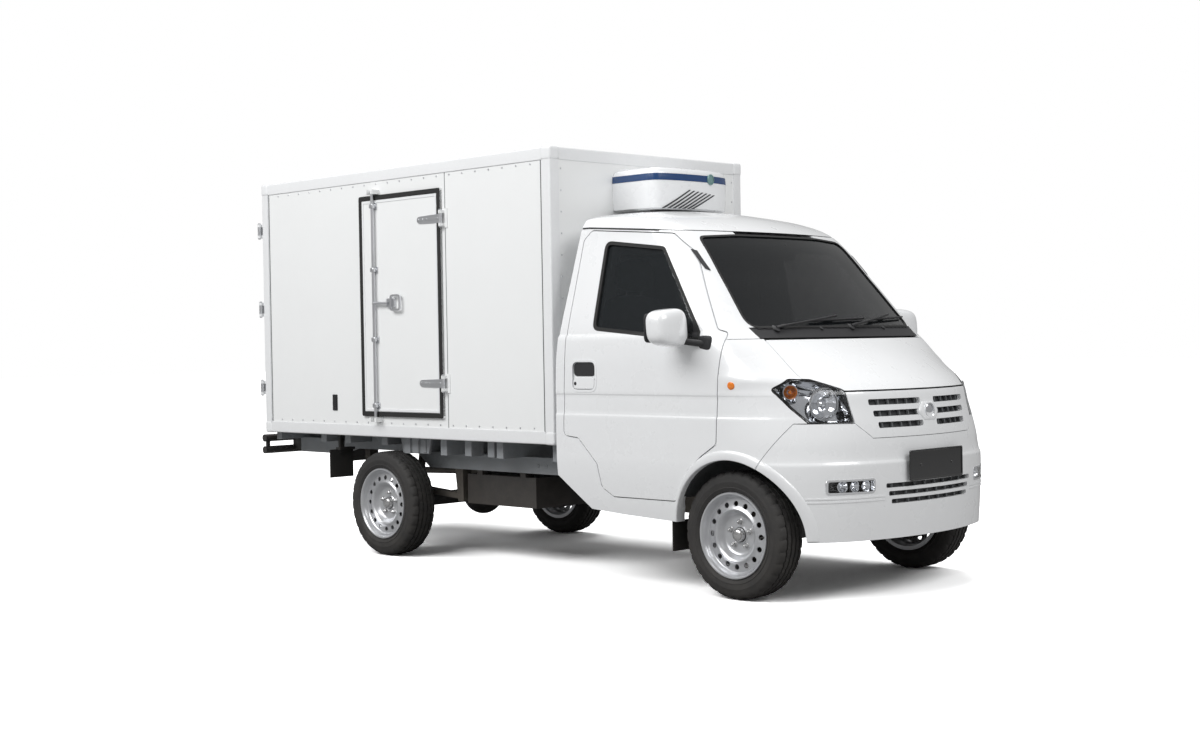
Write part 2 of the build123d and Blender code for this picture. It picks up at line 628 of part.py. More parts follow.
# Rear bumper of two tubes on brackets, with the plate carrier
bumper_x = -3705
tube_radius = 22
bar = Part()
for z in (606, 535):
    bar += rod((bumper_x, -690, z), (bumper_x, 690, z), tube_radius)
for s in (-1, 1):
    bar += block(bumper_x, rail_rear, s * 455, s * 485, 530, 600)
    bar += block(bumper_x - 8, bumper_x + 8, s * 655, s * 675, 530, 610)
bar += block(bumper_x - 6, bumper_x + 6, -120, 120, 430, 530)
pieces["rear_bumper"] = bar
plate_hole_spacing = 180
for s in (-1, 1):
    pieces["rear_bumper"] -= rod((bumper_x - 20, s * plate_hole_spacing / 2, 460),
                                 (bumper_x + 20, s * plate_hole_spacing / 2, 460), 3.5)

# Mud flaps behind the wheels
flaps = block(-356, -350, -735, -580, 190, 329)
flaps += block(-3026, -3020, -705, -545, 400, 560)
flaps += block(-3030, -3012, -640, -610, 540, box_floor_z)
flaps += block(-3040, -3000, -650, -545, 555, 570)
pieces["mud_flaps"] = both_sides(flaps)

# Tail lamps on the sill of the box
pieces["tail_lamps"] = both_sides(block(box_rear - 28, box_rear, -700, -530, 656, 704))

# Load box: a cage of edge profiles with flat panels between them
inside = (box_rear + box_wall, box_front - box_wall, box_half - box_wall, box_floor_z + box_wall, box_top_z - box_wall)
cage = block(box_rear, box_front, -box_half, box_half, box_floor_z, box_top_z)
cage -= block(box_rear - 1, box_front + 1, -inside[2], inside[2], inside[3], inside[4])
cage -= block(inside[0], inside[1], -box_half - 1, box_half + 1, inside[3], inside[4])
cage -= block(inside[0], inside[1], -inside[2], inside[2], box_floor_z - 1, box_top_z + 1)
pieces["box_edge_frame"] = cage
pieces["box_floor"] = block(inside[0], inside[1], -inside[2], inside[2], box_floor_z, inside[3])
pieces["box_roof"] = block(inside[0], inside[1], -inside[2], inside[2], inside[4], box_top_z - wall_recess)
pieces["box_front_wall"] = block(inside[1], box_front, -inside[2], inside[2], inside[3], inside[4])
pieces["box_left_wall"] = block(inside[0], inside[1], inside[2], box_half - wall_recess, inside[3], inside[4])
right_wall = block(inside[0], inside[1], -box_half + wall_recess, -inside[2], inside[3], inside[4])
right_wall -= block(side_door_rear, side_door_front, -box_half - 1, -inside[2] + 1, side_door_bottom, side_door_top)

# Side door, a plug with a lapping outer frame, on two external hinges
wall_face = box_half - wall_recess
side_axis_y = -wall_face - side_axis_out
flange_face = wall_face + seam
side_door = block(side_door_rear + side_door_rear_gap, side_door_front - side_door_gap, -flange_face, -inside[2],
                  side_door_bottom + side_door_gap, side_door_top - side_door_gap)
side_door += block(side_door_rear - side_door_lap, side_door_front + side_door_lap, -flange_face - side_door_flange,
                   -flange_face, side_door_bottom - side_door_lap, side_door_top + side_door_lap)
pieces["side_door"] = side_door

side_lock = Part()
lock_face = flange_face + side_door_flange
for z in side_hinge_heights:
    barrel = rod((side_axis_x, side_axis_y, z - hinge_barrel_height / 2),
                 (side_axis_x, side_axis_y, z + hinge_barrel_height / 2), hinge_barrel_radius)
    strap = block(side_axis_x - 200, side_axis_x - 12, -lock_face - 8, -lock_face, z - 22, z + 22)
    strap += block(side_axis_x - 16, side_axis_x, side_axis_y - 8, side_axis_y + 4, z - 22, z + 22)
    side_lock += barrel + strap
    side_lock -= rod((side_axis_x, side_axis_y, z - 40), (side_axis_x, side_axis_y, z + 40),
                     hinge_pin_radius + running_fit)
    carrier = rod((side_axis_x, side_axis_y, z - 45), (side_axis_x, side_axis_y, z + 45), hinge_pin_radius)
    for s in (-1, 1):
        low = z + s * (hinge_barrel_height / 2 + seam)
        high = z + s * (hinge_barrel_height / 2 + 16)
        carrier += rod((side_axis_x, side_axis_y, low), (side_axis_x, side_axis_y, high), hinge_barrel_radius)
        carrier += block(side_axis_x - 9, side_axis_x + 9, side_axis_y, -wall_face, low, high)
    carrier += block(side_axis_x + 16, side_axis_x + 34, -wall_face - 5, -wall_face, z - 50, z + 50)
    for s in (-1, 1):
        low = z + s * (hinge_barrel_height / 2 + seam)
        high = z + s * (hinge_barrel_height / 2 + 16)
        carrier += block(side_axis_x, side_axis_x + 30, -wall_face - 5, -wall_face, low, high)
    right_wall += carrier
rod_x = -2540
rod_y = -lock_face - 16
side_lock += rod((rod_x, rod_y, side_door_bottom - 50), (rod_x, rod_y, side_door_top + 52), 9)
for z in (side_door_bottom + 30, 1180, 1560, side_door_top - 30):
    side_lock += block(rod_x - 22, rod_x + 22, -lock_face - 27, -lock_face, z - 18, z + 18)
side_lock += block(rod_x, rod_x + 235, rod_y - 8, rod_y + 2, 1366, 1388)
side_lock += block(-2345, -2300, -lock_face - 26, -lock_face, 1345, 1405)
pieces["side_door_lock"] = side_lock
for z in (side_door_bottom - 47, side_door_top + 47):
    keeper = block(rod_x - 30, rod_x + 30, -wall_face - 52, -wall_face, z - 12, z + 12)
    keeper -= rod((rod_x, rod_y, z - 20), (rod_x, rod_y, z + 20), 16)
    keeper -= block(rod_x - 16, rod_x + 16, -wall_face - 60, rod_y, z - 20, z + 20)
    right_wall += keeper
pieces["box_right_wall"] = right_wall

# Rear doors, hinged outside the corner posts
rear_axis = (box_rear - rear_axis_back, -box_half - rear_axis_out)
leaf_inner = 3
leaf = block(box_rear, box_rear + box_wall, -inside[2] + rear_gap, -leaf_inner,
             inside[3] + rear_gap, inside[4] - rear_gap)
rear_lock = Part()
rear_carrier = Part()
for z in rear_hinge_heights:
    barrel = rod((*rear_axis, z - hinge_barrel_height / 2), (*rear_axis, z + hinge_barrel_height / 2),
                 hinge_barrel_radius)
    strap = block(box_rear - rear_axis_back - 8, box_rear - rear_axis_back, rear_axis[1], -480, z - 20, z + 20)
    strap += block(box_rear - rear_axis_back - 8, box_rear, -640, -480, z - 20, z + 20)
    rear_lock += barrel + strap
    rear_lock -= rod((*rear_axis, z - 40), (*rear_axis, z + 40), hinge_pin_radius + running_fit)
    rear_carrier += rod((*rear_axis, z - 45), (*rear_axis, z + 45), hinge_pin_radius)
    for s in (-1, 1):
        low = z + s * (hinge_barrel_height / 2 + seam)
        high = z + s * (hinge_barrel_height / 2 + 16)
        rear_carrier += rod((*rear_axis, low), (*rear_axis, high), hinge_barrel_radius)
        rear_carrier += block(rear_axis[0] - 6, rear_axis[0] + 6, rear_axis[1], -700, low, high)
        rear_carrier += block(rear_axis[0] - 6, box_rear, -712, -690, low, high)
bar_y = -190
rear_lock += rod((box_rear - 22, bar_y, inside[3] - 20), (box_rear - 22, bar_y, inside[4] + 20), 11)
for z in (800, 1150, 1600, 1960):
    rear_lock += block(box_rear - 36, box_rear, bar_y - 24, bar_y + 24, z - 20, z + 20)
rear_lock += block(box_rear - 32, box_rear - 22, bar_y - 220, bar_y, 1290, 1314)
rear_lock += block(box_rear - 34, box_rear, bar_y - 225, bar_y - 190, 1270, 1330)
pieces["rear_door_right"] = leaf
pieces["rear_door_left"] = mirrored(leaf)
pieces["rear_door_lock_right"] = rear_lock
pieces["rear_door_lock_left"] = mirrored(rear_lock)
for z in (inside[3] - 12, inside[4] + 12):
    keeper = block(box_rear - 44, box_rear, bar_y - 30, bar_y + 30, z - 10, z + 10)
    keeper -= rod((box_rear - 22, bar_y, z - 20), (box_rear - 22, bar_y, z + 20), 18)
    keeper -= block(box_rear - 50, box_rear - 22, bar_y - 18, bar_y + 18, z - 20, z + 20)
    rear_carrier += keeper
pieces["box_edge_frame"] += both_sides(rear_carrier)

# Refrigeration unit over the cab, with a bowed face and slanted louvres, and its evaporator
unit_half = 278
unit_z = (1801, 2012)
unit = plan_prism(((box_front, -unit_half), (-880, -unit_half), (-842, -200), (-822, 0), (-842, 200),
                   (-880, unit_half), (box_front, unit_half)), unit_z[0], unit_z[1])
unit -= block(-900, -800, -unit_half - 1, unit_half + 1, unit_z[0] - 1, unit_z[0] + 12)
for index in range(7):
    z = unit_z[0] + 22 + index * 11
    unit -= plan_prism(((-860, -215), (-830, -175), (-800, 0), (-830, 175), (-860, 215)), z, z + 6)
pieces["refrigeration_unit"] = unit
evaporator = side_prism(((inside[1], inside[4]), (-1520, inside[4]), (-1520, 1990), (-1440, 1900), (inside[1], 1900)),
                        -420, 420)
pieces["evaporator"] = evaporator

# Tyres and wheels, drawn at the right side and copied to the four stubs
def ring_about_wheel(points):
    """Closed outline of radius and outward distance, turned about the wheel's axis."""
    face = Face(Wire(points))
    return Part() + Solid.revolve(face, 360, Axis((0, 0, 0), (0, 1, 0)))


def wheel_edges(outline):
    """Edges of a section; a middle point after a corner makes an arc."""
    edges = []
    for start, middle, end in outline:
        a = Vector(start[0], start[1], 0)
        b = Vector(end[0], end[1], 0)
        if middle is None:
            edges.append(Edge.make_line(a, b))
        else:
            edges.append(Edge.make_three_point_arc(a, Vector(middle[0], middle[1], 0), b))
    return edges


half = tyre_width / 2
bead_half = rim_width / 2 - seam
shoulder = (tyre_radius - 9, half - 14)
# columns: start, middle of an arc or nothing, end; each point is radius and distance outward
tyre_section = (
    ((bead_radius, -bead_half), None, (flange_radius + 2, -bead_half)),
    ((flange_radius + 2, -bead_half), (232, -half), (262, -half + 6)),
    ((262, -half + 6), (shoulder[0], -shoulder[1]), (tyre_radius - 2, -half + 26)),
    ((tyre_radius - 2, -half + 26), (tyre_radius, 0), (tyre_radius - 2, half - 26)),
    ((tyre_radius - 2, half - 26), (shoulder[0], shoulder[1]), (262, half - 6)),
    ((262, half - 6), (232, half), (flange_radius + 2, bead_half)),
    ((flange_radius + 2, bead_half), None, (bead_radius, bead_half)),
    ((bead_radius, bead_half), None, (bead_radius, -bead_half)),
)
tyre = ring_about_wheel(wheel_edges(tyre_section))
rim_half = rim_width / 2
barrel = bead_radius - seam
well = barrel - rim_wall
rim_points = (
    (barrel, -rim_half), (flange_radius, -rim_half), (flange_radius, -rim_half - flange_wall),
    (well, -rim_half - flange_wall), (well, 34), (118, 44), (100, 38), (84, 14), (hub_radius, 14),
    (hub_radius, -10), (stub_radius + running_fit, -10), (stub_radius + running_fit, 38), (hub_radius - 4, 38),
    (hub_radius + 4, 21), (80, 21), (94, 45), (116, 52), (well, 42), (well, rim_half + flange_wall),
    (flange_radius, rim_half + flange_wall), (flange_radius, rim_half), (barrel, rim_half),
)
rim_edges = wheel_edges([(rim_points[i], None, rim_points[(i + 1) % len(rim_points)]) for i in range(len(rim_points))])
rim = ring_about_wheel(rim_edges)
for index in range(wheel_hole_count):
    angle = 2 * pi * index / wheel_hole_count
    x, z = wheel_hole_circle * cos(angle), wheel_hole_circle * sin(angle)
    rim -= rod((x, 20, z), (x, 70, z), wheel_hole_radius)
# columns: name, axle x, side
for name, x, side in (("front_right", 0, -1), ("front_left", 0, 1), ("rear_right", -wheelbase, -1),
                      ("rear_left", -wheelbase, 1)):
    for kind, shape in (("tyre", tyre), ("rim", rim)):
        turned = shape if side > 0 else mirrored(shape)
        pieces[kind + "_" + name] = Pos(x, side * wheel_y, axle_height) * turned

# Write every piece at its place in the truck's own frame
shift = (wheelbase + rear_overhang - front_overhang) / 2
os.makedirs("parts", exist_ok=True)
for name, shape in pieces.items():
    export_step(Pos(shift, 0, 0) * shape, "parts/" + name + ".step")
print(len(pieces), "pieces written")
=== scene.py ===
import bmesh
import bpy
from math import asin, cos, hypot, pi, radians, sin, sqrt
from mathutils import Matrix, Vector


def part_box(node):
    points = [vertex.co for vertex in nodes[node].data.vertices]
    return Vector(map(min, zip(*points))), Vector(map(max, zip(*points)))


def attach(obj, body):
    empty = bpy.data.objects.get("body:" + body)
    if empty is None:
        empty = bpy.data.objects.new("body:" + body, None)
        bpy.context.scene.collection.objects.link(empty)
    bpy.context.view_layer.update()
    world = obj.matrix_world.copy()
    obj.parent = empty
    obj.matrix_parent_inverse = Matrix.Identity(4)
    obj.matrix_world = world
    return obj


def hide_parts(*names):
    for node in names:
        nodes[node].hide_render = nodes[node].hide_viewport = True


# Small refrigerated truck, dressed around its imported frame. Sketch lengths are millimetres,
# with x counted forwards from the front axle, and spot() turns them into metres.
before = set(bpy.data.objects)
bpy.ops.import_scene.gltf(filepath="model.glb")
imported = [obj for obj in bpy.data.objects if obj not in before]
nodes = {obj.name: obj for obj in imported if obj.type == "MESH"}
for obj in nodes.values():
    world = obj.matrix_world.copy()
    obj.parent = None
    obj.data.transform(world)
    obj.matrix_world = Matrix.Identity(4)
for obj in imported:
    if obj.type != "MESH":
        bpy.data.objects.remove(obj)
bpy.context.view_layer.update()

MM = 0.001
tyre_low, tyre_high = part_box("tyre_front_right")
front_axle = (tyre_low.x + tyre_high.x) / 2
rear_low, rear_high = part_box("tyre_rear_right")
rear_axle_x = ((rear_low.x + rear_high.x) / 2 - front_axle) / MM
tyre_radius = (tyre_high.z - tyre_low.z) / 2 / MM
wheel_y = (tyre_high.y + tyre_low.y) / 2 / MM
SEAM = 2.2


def spot(x, y, z):
    """A place on the truck, in metres."""
    return Vector((front_axle + x * MM, y * MM, z * MM))


# Camera at the photograph's place and angle
eye = spot(4809.1, -6315.4, 1150.0)
look = Vector((-0.70907719, 0.70498908, -0.0141398))
rightward = Vector((0.70512834, 0.70887837, -0.01689633))
upward = Vector((0.00188833, 0.02195118, 0.99975726))
camera_data = bpy.data.cameras.new("camera")
camera_data.sensor_width = 36
camera_data.lens = 50.22
camera_data.clip_end = 200
camera = bpy.data.objects.new("camera", camera_data)
bpy.context.scene.collection.objects.link(camera)
camera.matrix_world = Matrix((
    (rightward.x, upward.x, -look.x, eye.x), (rightward.y, upward.y, -look.y, eye.y),
    (rightward.z, upward.z, -look.z, eye.z), (0, 0, 0, 1)))
bpy.context.scene.camera = camera


# Shared surface effects
def new_node(tree, kind, **values):
    """Shader node with its number inputs set; an underscore in a name stands for a space."""
    node = tree.nodes.new("ShaderNode" + kind)
    for label, value in values.items():
        node.inputs[label.replace("_", " ")].default_value = value
    return node


def new_effect(name, inputs, outputs):
    """Node group with number inputs and the named outputs."""
    tree = bpy.data.node_groups.new(name, "ShaderNodeTree")
    for label, value in inputs:
        tree.interface.new_socket(label, in_out="INPUT", socket_type="NodeSocketFloat").default_value = value
    for label in outputs:
        tree.interface.new_socket(label, in_out="OUTPUT", socket_type="NodeSocketFloat")
    return tree, tree.nodes.new("NodeGroupInput"), tree.nodes.new("NodeGroupOutput")


def fine_grain():
    """Moulded or sprayed surface: a fine height and a slow unevenness."""
    tree, start, end = new_effect("fine_grain", (("Scale", 300), ("Patch Scale", 6)), ("Height", "Patches"))
    place = new_node(tree, "TexCoord")
    fine = new_node(tree, "TexNoise", Detail=3)
    patch = new_node(tree, "TexNoise", Detail=5, Roughness=0.6)
    for noise, label, out in ((fine, "Scale", "Height"), (patch, "Patch Scale", "Patches")):
        tree.links.new(place.outputs["Object"], noise.inputs["Vector"])
        tree.links.new(start.outputs[label], noise.inputs["Scale"])
        tree.links.new(noise.outputs["Fac"], end.inputs[out])
    return tree


def speckled(tree, start, end, rise, **noise):
    """The effect's mask: a rise broken up by noise, times the effect's amount."""
    place = new_node(tree, "TexCoord")
    speck = new_node(tree, "TexNoise", **noise)
    tree.links.new(place.outputs["Object"], speck.inputs["Vector"])
    mask = rise.outputs["Result"]
    for factor in (speck.outputs["Fac"], start.outputs["Amount"]):
        times = new_node(tree, "Math")
        times.operation = "MULTIPLY"
        tree.links.new(mask, times.inputs[0])
        tree.links.new(factor, times.inputs[1])
        mask = times.outputs[0]
    tree.links.new(mask, end.inputs["Mask"])
    return tree


def road_dust():
    """Dust that thickens towards the road, broken up by noise."""
    tree, start, end = new_effect("road_dust", (("Top", 0.9), ("Bottom", 0.15), ("Amount", 0.4)), ("Mask",))
    place = new_node(tree, "TexCoord")
    split = new_node(tree, "SeparateXYZ")
    rise = new_node(tree, "MapRange")
    rise.interpolation_type = "SMOOTHSTEP"
    tree.links.new(place.outputs["Object"], split.inputs[0])
    tree.links.new(split.outputs["Z"], rise.inputs["Value"])
    tree.links.new(start.outputs["Top"], rise.inputs["From Min"])
    tree.links.new(start.outputs["Bottom"], rise.inputs["From Max"])
    return speckled(tree, start, end, rise, Scale=14, Detail=6)


def edge_wear():
    """Rubbed edges: where the surface is sharply convex, broken up by noise."""
    tree, start, end = new_effect("edge_wear", (("Reach", 0.55), ("Amount", 0.5)), ("Mask",))
    shape = new_node(tree, "NewGeometry")
    rise = new_node(tree, "MapRange", From_Max=0.75)
    tree.links.new(shape.outputs["Pointiness"], rise.inputs["Value"])
    tree.links.new(start.outputs["Reach"], rise.inputs["From Min"])
    return speckled(tree, start, end, rise, Scale=60)


grain_effect = fine_grain()
dust_effect = road_dust()
wear_effect = edge_wear()
DUST = (0.32, 0.28, 0.23)
THREADS = 90


def colour_mix(tree, first, second, share):
    """Two colours or sockets mixed by a share socket."""
    mix = new_node(tree, "Mix")
    mix.data_type = "RGBA"
    for value, socket in ((first, mix.inputs[6]), (second, mix.inputs[7])):
        if isinstance(value, tuple):
            socket.default_value = (*value, 1)
        else:
            tree.links.new(value, socket)
    tree.links.new(share, mix.inputs[0])
    return mix.outputs[2]


def finish(name, colour, rough, metallic=0.0, coat=0.0, grain=400, relief=0.05, patches=0.05, dust=0.0,
           wear=0.0, under=(0.4, 0.4, 0.4)):
    """A painted, moulded or metal surface with its grain, unevenness, dust and rubbed edges."""
    material = bpy.data.materials.new(name)
    material.use_nodes = True
    tree = material.node_tree
    shader = tree.nodes["Principled BSDF"]

    def effect(group, **values):
        node = new_node(tree, "Group")
        node.node_tree = group
        for label, value in values.items():
            node.inputs[label.replace("_", " ")].default_value = value
        return node.outputs
    texture = effect(grain_effect, Scale=grain, Patch_Scale=5)
    dark = tuple(c * (1 - patches) for c in colour)
    light = tuple(min(c * (1 + patches), 1) for c in colour)
    tint = colour_mix(tree, dark, light, texture["Patches"])
    if wear:
        tint = colour_mix(tree, tint, under, effect(wear_effect, Amount=wear)["Mask"])
    if dust:
        tint = colour_mix(tree, tint, DUST, effect(dust_effect, Amount=dust)["Mask"])
    tree.links.new(tint, shader.inputs["Base Color"])
    sheen = new_node(tree, "MapRange", To_Min=max(rough - 0.06, 0.02), To_Max=rough + 0.06)
    tree.links.new(texture["Patches"], sheen.inputs["Value"])
    tree.links.new(sheen.outputs["Result"], shader.inputs["Roughness"])
    bump = new_node(tree, "Bump", Strength=relief, Distance=0.001)
    tree.links.new(texture["Height"], bump.inputs["Height"])
    tree.links.new(bump.outputs["Normal"], shader.inputs["Normal"])
    shader.inputs["Metallic"].default_value = metallic
    shader.inputs["Coat Weight"].default_value = coat
    shader.inputs["Coat Roughness"].default_value = 0.05
    return material


def window_glass(name, colour, clear, edge):
    """Tinted glass that lets light through and reflects more at a slant."""
    material = finish(name, colour, 0.03, grain=3, relief=0.01, patches=0.02)
    tree = material.node_tree
    shader = tree.nodes["Principled BSDF"]
    slant = new_node(tree, "Fresnel", IOR=1.5)
    cover = new_node(tree, "MapRange", To_Min=clear, To_Max=edge)
    tree.links.new(slant.outputs["Fac"], cover.inputs["Value"])
    tree.links.new(cover.outputs["Result"], shader.inputs["Alpha"])
    shader.inputs["Coat Weight"].default_value = 1
    return material


def clear_lens(name, colour):
    """Clear moulded lens."""
    material = finish(name, colour, 0.04, grain=60, relief=0.02, patches=0.01)
    shader = material.node_tree.nodes["Principled BSDF"]
    shader.inputs["Transmission Weight"].default_value = 1
    shader.inputs["IOR"].default_value = 1.3
    return material


def woven(name, colour, sheen):
    """Seat cloth with a fine weave."""
    material = finish(name, colour, 0.9, grain=900, relief=0.25, patches=0.12)
    tree = material.node_tree
    shader = tree.nodes["Principled BSDF"]
    place = new_node(tree, "TexCoord")
    bump = new_node(tree, "Bump", Strength=0.5, Distance=0.0012)
    crossing = new_node(tree, "Math")
    crossing.operation = "MULTIPLY"
    for index, direction in enumerate(("X", "Z")):
        wave = new_node(tree, "TexWave", Scale=THREADS, Distortion=0.6)
        wave.bands_direction = direction
        tree.links.new(place.outputs["Object"], wave.inputs["Vector"])
        tree.links.new(wave.outputs["Fac"], crossing.inputs[index])
    tree.links.new(crossing.outputs[0], bump.inputs["Height"])
    tree.links.new(bump.outputs["Normal"], shader.inputs["Normal"])
    shader.inputs["Sheen Weight"].default_value = sheen
    return material


white_paint = finish("white_paint", (0.83, 0.84, 0.85), 0.28, coat=0.7, grain=700, relief=0.006, patches=0.006,
                     dust=0.05)
box_paint = finish("box_paint", (0.86, 0.87, 0.87), 0.38, coat=0.2, grain=160, relief=0.03, patches=0.012, dust=0.10)
rail_paint = finish("rail_paint", (0.84, 0.85, 0.86), 0.3, coat=0.3, grain=500, relief=0.03, patches=0.02,
                    dust=0.12, wear=0.3, under=(0.5, 0.5, 0.5))
black_plastic = finish("black_plastic", (0.018, 0.018, 0.02), 0.5, grain=1200, relief=0.3, patches=0.15, dust=0.1)
gloss_black = finish("gloss_black", (0.006, 0.006, 0.007), 0.12, coat=0.8, grain=500, relief=0.02, dust=0.03)
grey_plastic = finish("grey_plastic", (0.10, 0.105, 0.11), 0.55, grain=1100, relief=0.35, patches=0.1)
pale_trim = finish("pale_trim", (0.42, 0.42, 0.41), 0.65, grain=1000, relief=0.3, patches=0.05)
rubber = finish("rubber", (0.012, 0.012, 0.012), 0.7, grain=900, relief=0.2, patches=0.2, dust=0.12)
tyre_rubber = finish("tyre_rubber", (0.016, 0.016, 0.017), 0.72, grain=1400, relief=0.35, patches=0.25, dust=0.12)
wheel_paint = finish("wheel_paint", (0.62, 0.63, 0.65), 0.32, metallic=0.75, grain=1600, relief=0.06, patches=0.06,
                     dust=0.08, wear=0.2, under=(0.3, 0.29, 0.28))
wheel_nut = finish("wheel_nut", (0.6, 0.6, 0.6), 0.25, metallic=1, grain=900, relief=0.1, patches=0.1, dust=0.08)
zinc = finish("zinc", (0.66, 0.67, 0.69), 0.3, metallic=0.9, grain=500, relief=0.08, patches=0.12, dust=0.08,
              wear=0.4, under=(0.8, 0.8, 0.8))
chrome = finish("chrome", (0.85, 0.86, 0.88), 0.07, metallic=1, grain=200, relief=0.01, patches=0.02)
chassis_grey = finish("chassis_grey", (0.26, 0.28, 0.30), 0.48, grain=500, relief=0.12, patches=0.14, dust=0.4,
                      wear=0.5, under=(0.12, 0.08, 0.06))
chassis_black = finish("chassis_black", (0.02, 0.02, 0.021), 0.5, grain=450, relief=0.15, patches=0.25, dust=0.14,
                       wear=0.4, under=(0.12, 0.09, 0.07))
cast_iron = finish("cast_iron", (0.05, 0.048, 0.046), 0.6, metallic=0.6, grain=260, relief=0.5, patches=0.3,
                   dust=0.5, wear=0.5, under=(0.2, 0.18, 0.16))
bare_aluminium = finish("bare_aluminium", (0.6, 0.61, 0.62), 0.4, metallic=0.85, grain=700, relief=0.15,
                        patches=0.12, dust=0.2)
blue_stripe = finish("blue_stripe", (0.008, 0.045, 0.15), 0.25, coat=0.6, grain=700, relief=0.015, patches=0.03)
badge_green = finish("badge_green", (0.20, 0.34, 0.33), 0.3, metallic=0.3, coat=0.6, grain=500, relief=0.03)
louvre_dark = finish("louvre_dark", (0.03, 0.032, 0.035), 0.6, grain=600, relief=0.2, dust=0.1)
red_lens = finish("red_lens", (0.42, 0.008, 0.006), 0.1, coat=1, grain=120, relief=0.2, patches=0.1)
amber_lens = finish("amber_lens", (0.85, 0.22, 0.01), 0.1, coat=1, grain=120, relief=0.2, patches=0.1)
white_lens = finish("white_lens", (0.75, 0.76, 0.77), 0.1, coat=1, grain=120, relief=0.2, patches=0.03)
screen_glass = window_glass("screen_glass", (0.012, 0.014, 0.016), 0.48, 0.97)
side_glass = window_glass("side_glass", (0.02, 0.024, 0.027), 0.16, 0.85)
mirror_glass = finish("mirror_glass", (0.8, 0.82, 0.84), 0.03, metallic=1, grain=20, relief=0.005, patches=0.01)
lamp_lens = clear_lens("lamp_lens", (0.97, 0.98, 1.0))
seat_cloth = woven("seat_cloth", (0.13, 0.135, 0.145), 0.4)


# Mesh making
scratch = []


def linked(name, mesh):
    """Object of a mesh, in the scene."""
    obj = bpy.data.objects.new(name, mesh)
    bpy.context.scene.collection.objects.link(obj)
    return obj


def ring_faces(rings, count, closed=False):
    """Faces between rings of places that follow each other; closed joins the last to the first."""
    return [(a * count + i, a * count + (i + 1) % count, b * count + (i + 1) % count, b * count + i)
            for a, b in ((r, (r + 1) % rings) for r in range(rings if closed else rings - 1)) for i in range(count)]


def end_faces(rings, count):
    """Faces that close the first and the last ring."""
    return [tuple(reversed(range(count))), tuple(range((rings - 1) * count, rings * count))]


def cutter(places, faces):
    """A solid that only cuts others."""
    mesh = bpy.data.meshes.new("cutter")
    mesh.from_pydata([spot(*place) for place in places], [], faces)
    scratch.append(linked("cutter", mesh))
    return scratch[-1]


def turning(outline):
    """Twice the outline's area, positive when it runs anticlockwise."""
    return sum(a[0] * b[1] - b[0] * a[1] for a, b in zip(outline, [*outline[1:], outline[0]]))


def extruded(outline, at, low, high):
    """Cutter of an outline drawn out along one axis; at() places a point and a depth."""
    if turning(outline) < 0:
        outline = list(reversed(outline))
    places = [at(u, v, d) for d in (low, high) for u, v in outline]
    return cutter(places, end_faces(2, len(outline)) + ring_faces(2, len(outline)))


def side_prism(outline, y0=-900, y1=-400):
    """Cutter with an outline in x and z, on the right unless told otherwise."""
    return extruded(outline, lambda u, v, d: (u, d, v), max(y0, y1), min(y0, y1))


# How far front prisms reach, x back and x ahead
NOSE, SCREEN, COWL, REAR = (150, 700), (-430, 300), (-60, 300), (-1120, -950)


def front_prism(outline, reach=NOSE):
    """Cutter with an outline in y and z."""
    return extruded(outline, lambda u, v, d: (d, u, v), *reach)


def level_face(u, v, d):
    """Outlines that lie level, with their height as depth."""
    return (u, v, d)


def block(x0, x1, y0, y1, z0, z1):
    """Cutter between six coordinates."""
    return side_prism(box_outline(x0, x1, z0, z1), y0, y1)


def box_outline(u0, u1, v0, v1):
    """Upright rectangle."""
    (u0, u1), (v0, v1) = sorted((u0, u1)), sorted((v0, v1))
    return ((u0, v0), (u1, v0), (u1, v1), (u0, v1))


def rounded(u0, u1, v0, v1, radius):
    """Upright rectangle with rounded corners."""
    return eased(box_outline(u0, u1, v0, v1), radius)


def circle(u, v, radius, steps=24):
    """Round outline."""
    return [(u + radius * cos(2 * pi * k / steps), v + radius * sin(2 * pi * k / steps)) for k in range(steps)]


def cross_rod(x, z, radius, y0, y1):
    """Round cutter along y."""
    return side_prism(circle(x, z, radius, 72), y0, y1)


def corner_turns(outline):
    """Each corner with the inward unit normals of its two edges."""
    turn = 1 if turning(outline) > 0 else -1
    for i, (bx, bz) in enumerate(outline):
        (ax, az), (cx, cz) = outline[i - 1], outline[(i + 1) % len(outline)]
        first, second = hypot(bx - ax, bz - az), hypot(cx - bx, cz - bz)
        yield (bx, bz), (-(bz - az) / first * turn, (bx - ax) / first * turn), \
            (-(cz - bz) / second * turn, (cx - bx) / second * turn)


def inset(outline, distance):
    """Outline moved inwards by one distance all round."""
    moved = []
    for (bx, bz), n1, n2 in corner_turns(outline):
        share = distance / (1 + n1[0] * n2[0] + n1[1] * n2[1])
        moved.append((bx + (n1[0] + n2[0]) * share, bz + (n1[1] + n2[1]) * share))
    return moved


def eased(outline, radius, steps=5):
    """Outline with its corners rounded as far as its edges allow."""
    points = []
    for i in range(len(outline)):
        a, b, c = Vector(outline[i - 1]), Vector(outline[i]), Vector(outline[(i + 1) % len(outline)])
        before, after = (a - b), (c - b)
        angle = before.angle(after)
        reach = min(radius / max(sin(angle / 2) / cos(angle / 2), 0.05) if angle < pi - 0.02 else 0,
                    before.length * 0.45, after.length * 0.45)
        if reach < 0.5:
            points.append(tuple(b))
            continue
        start, end = b + before.normalized() * reach, b + after.normalized() * reach
        for step in range(steps + 1):
            t = step / steps
            points.append(tuple(start * (1 - t) ** 2 + b * 2 * t * (1 - t) + end * t ** 2))
    return points


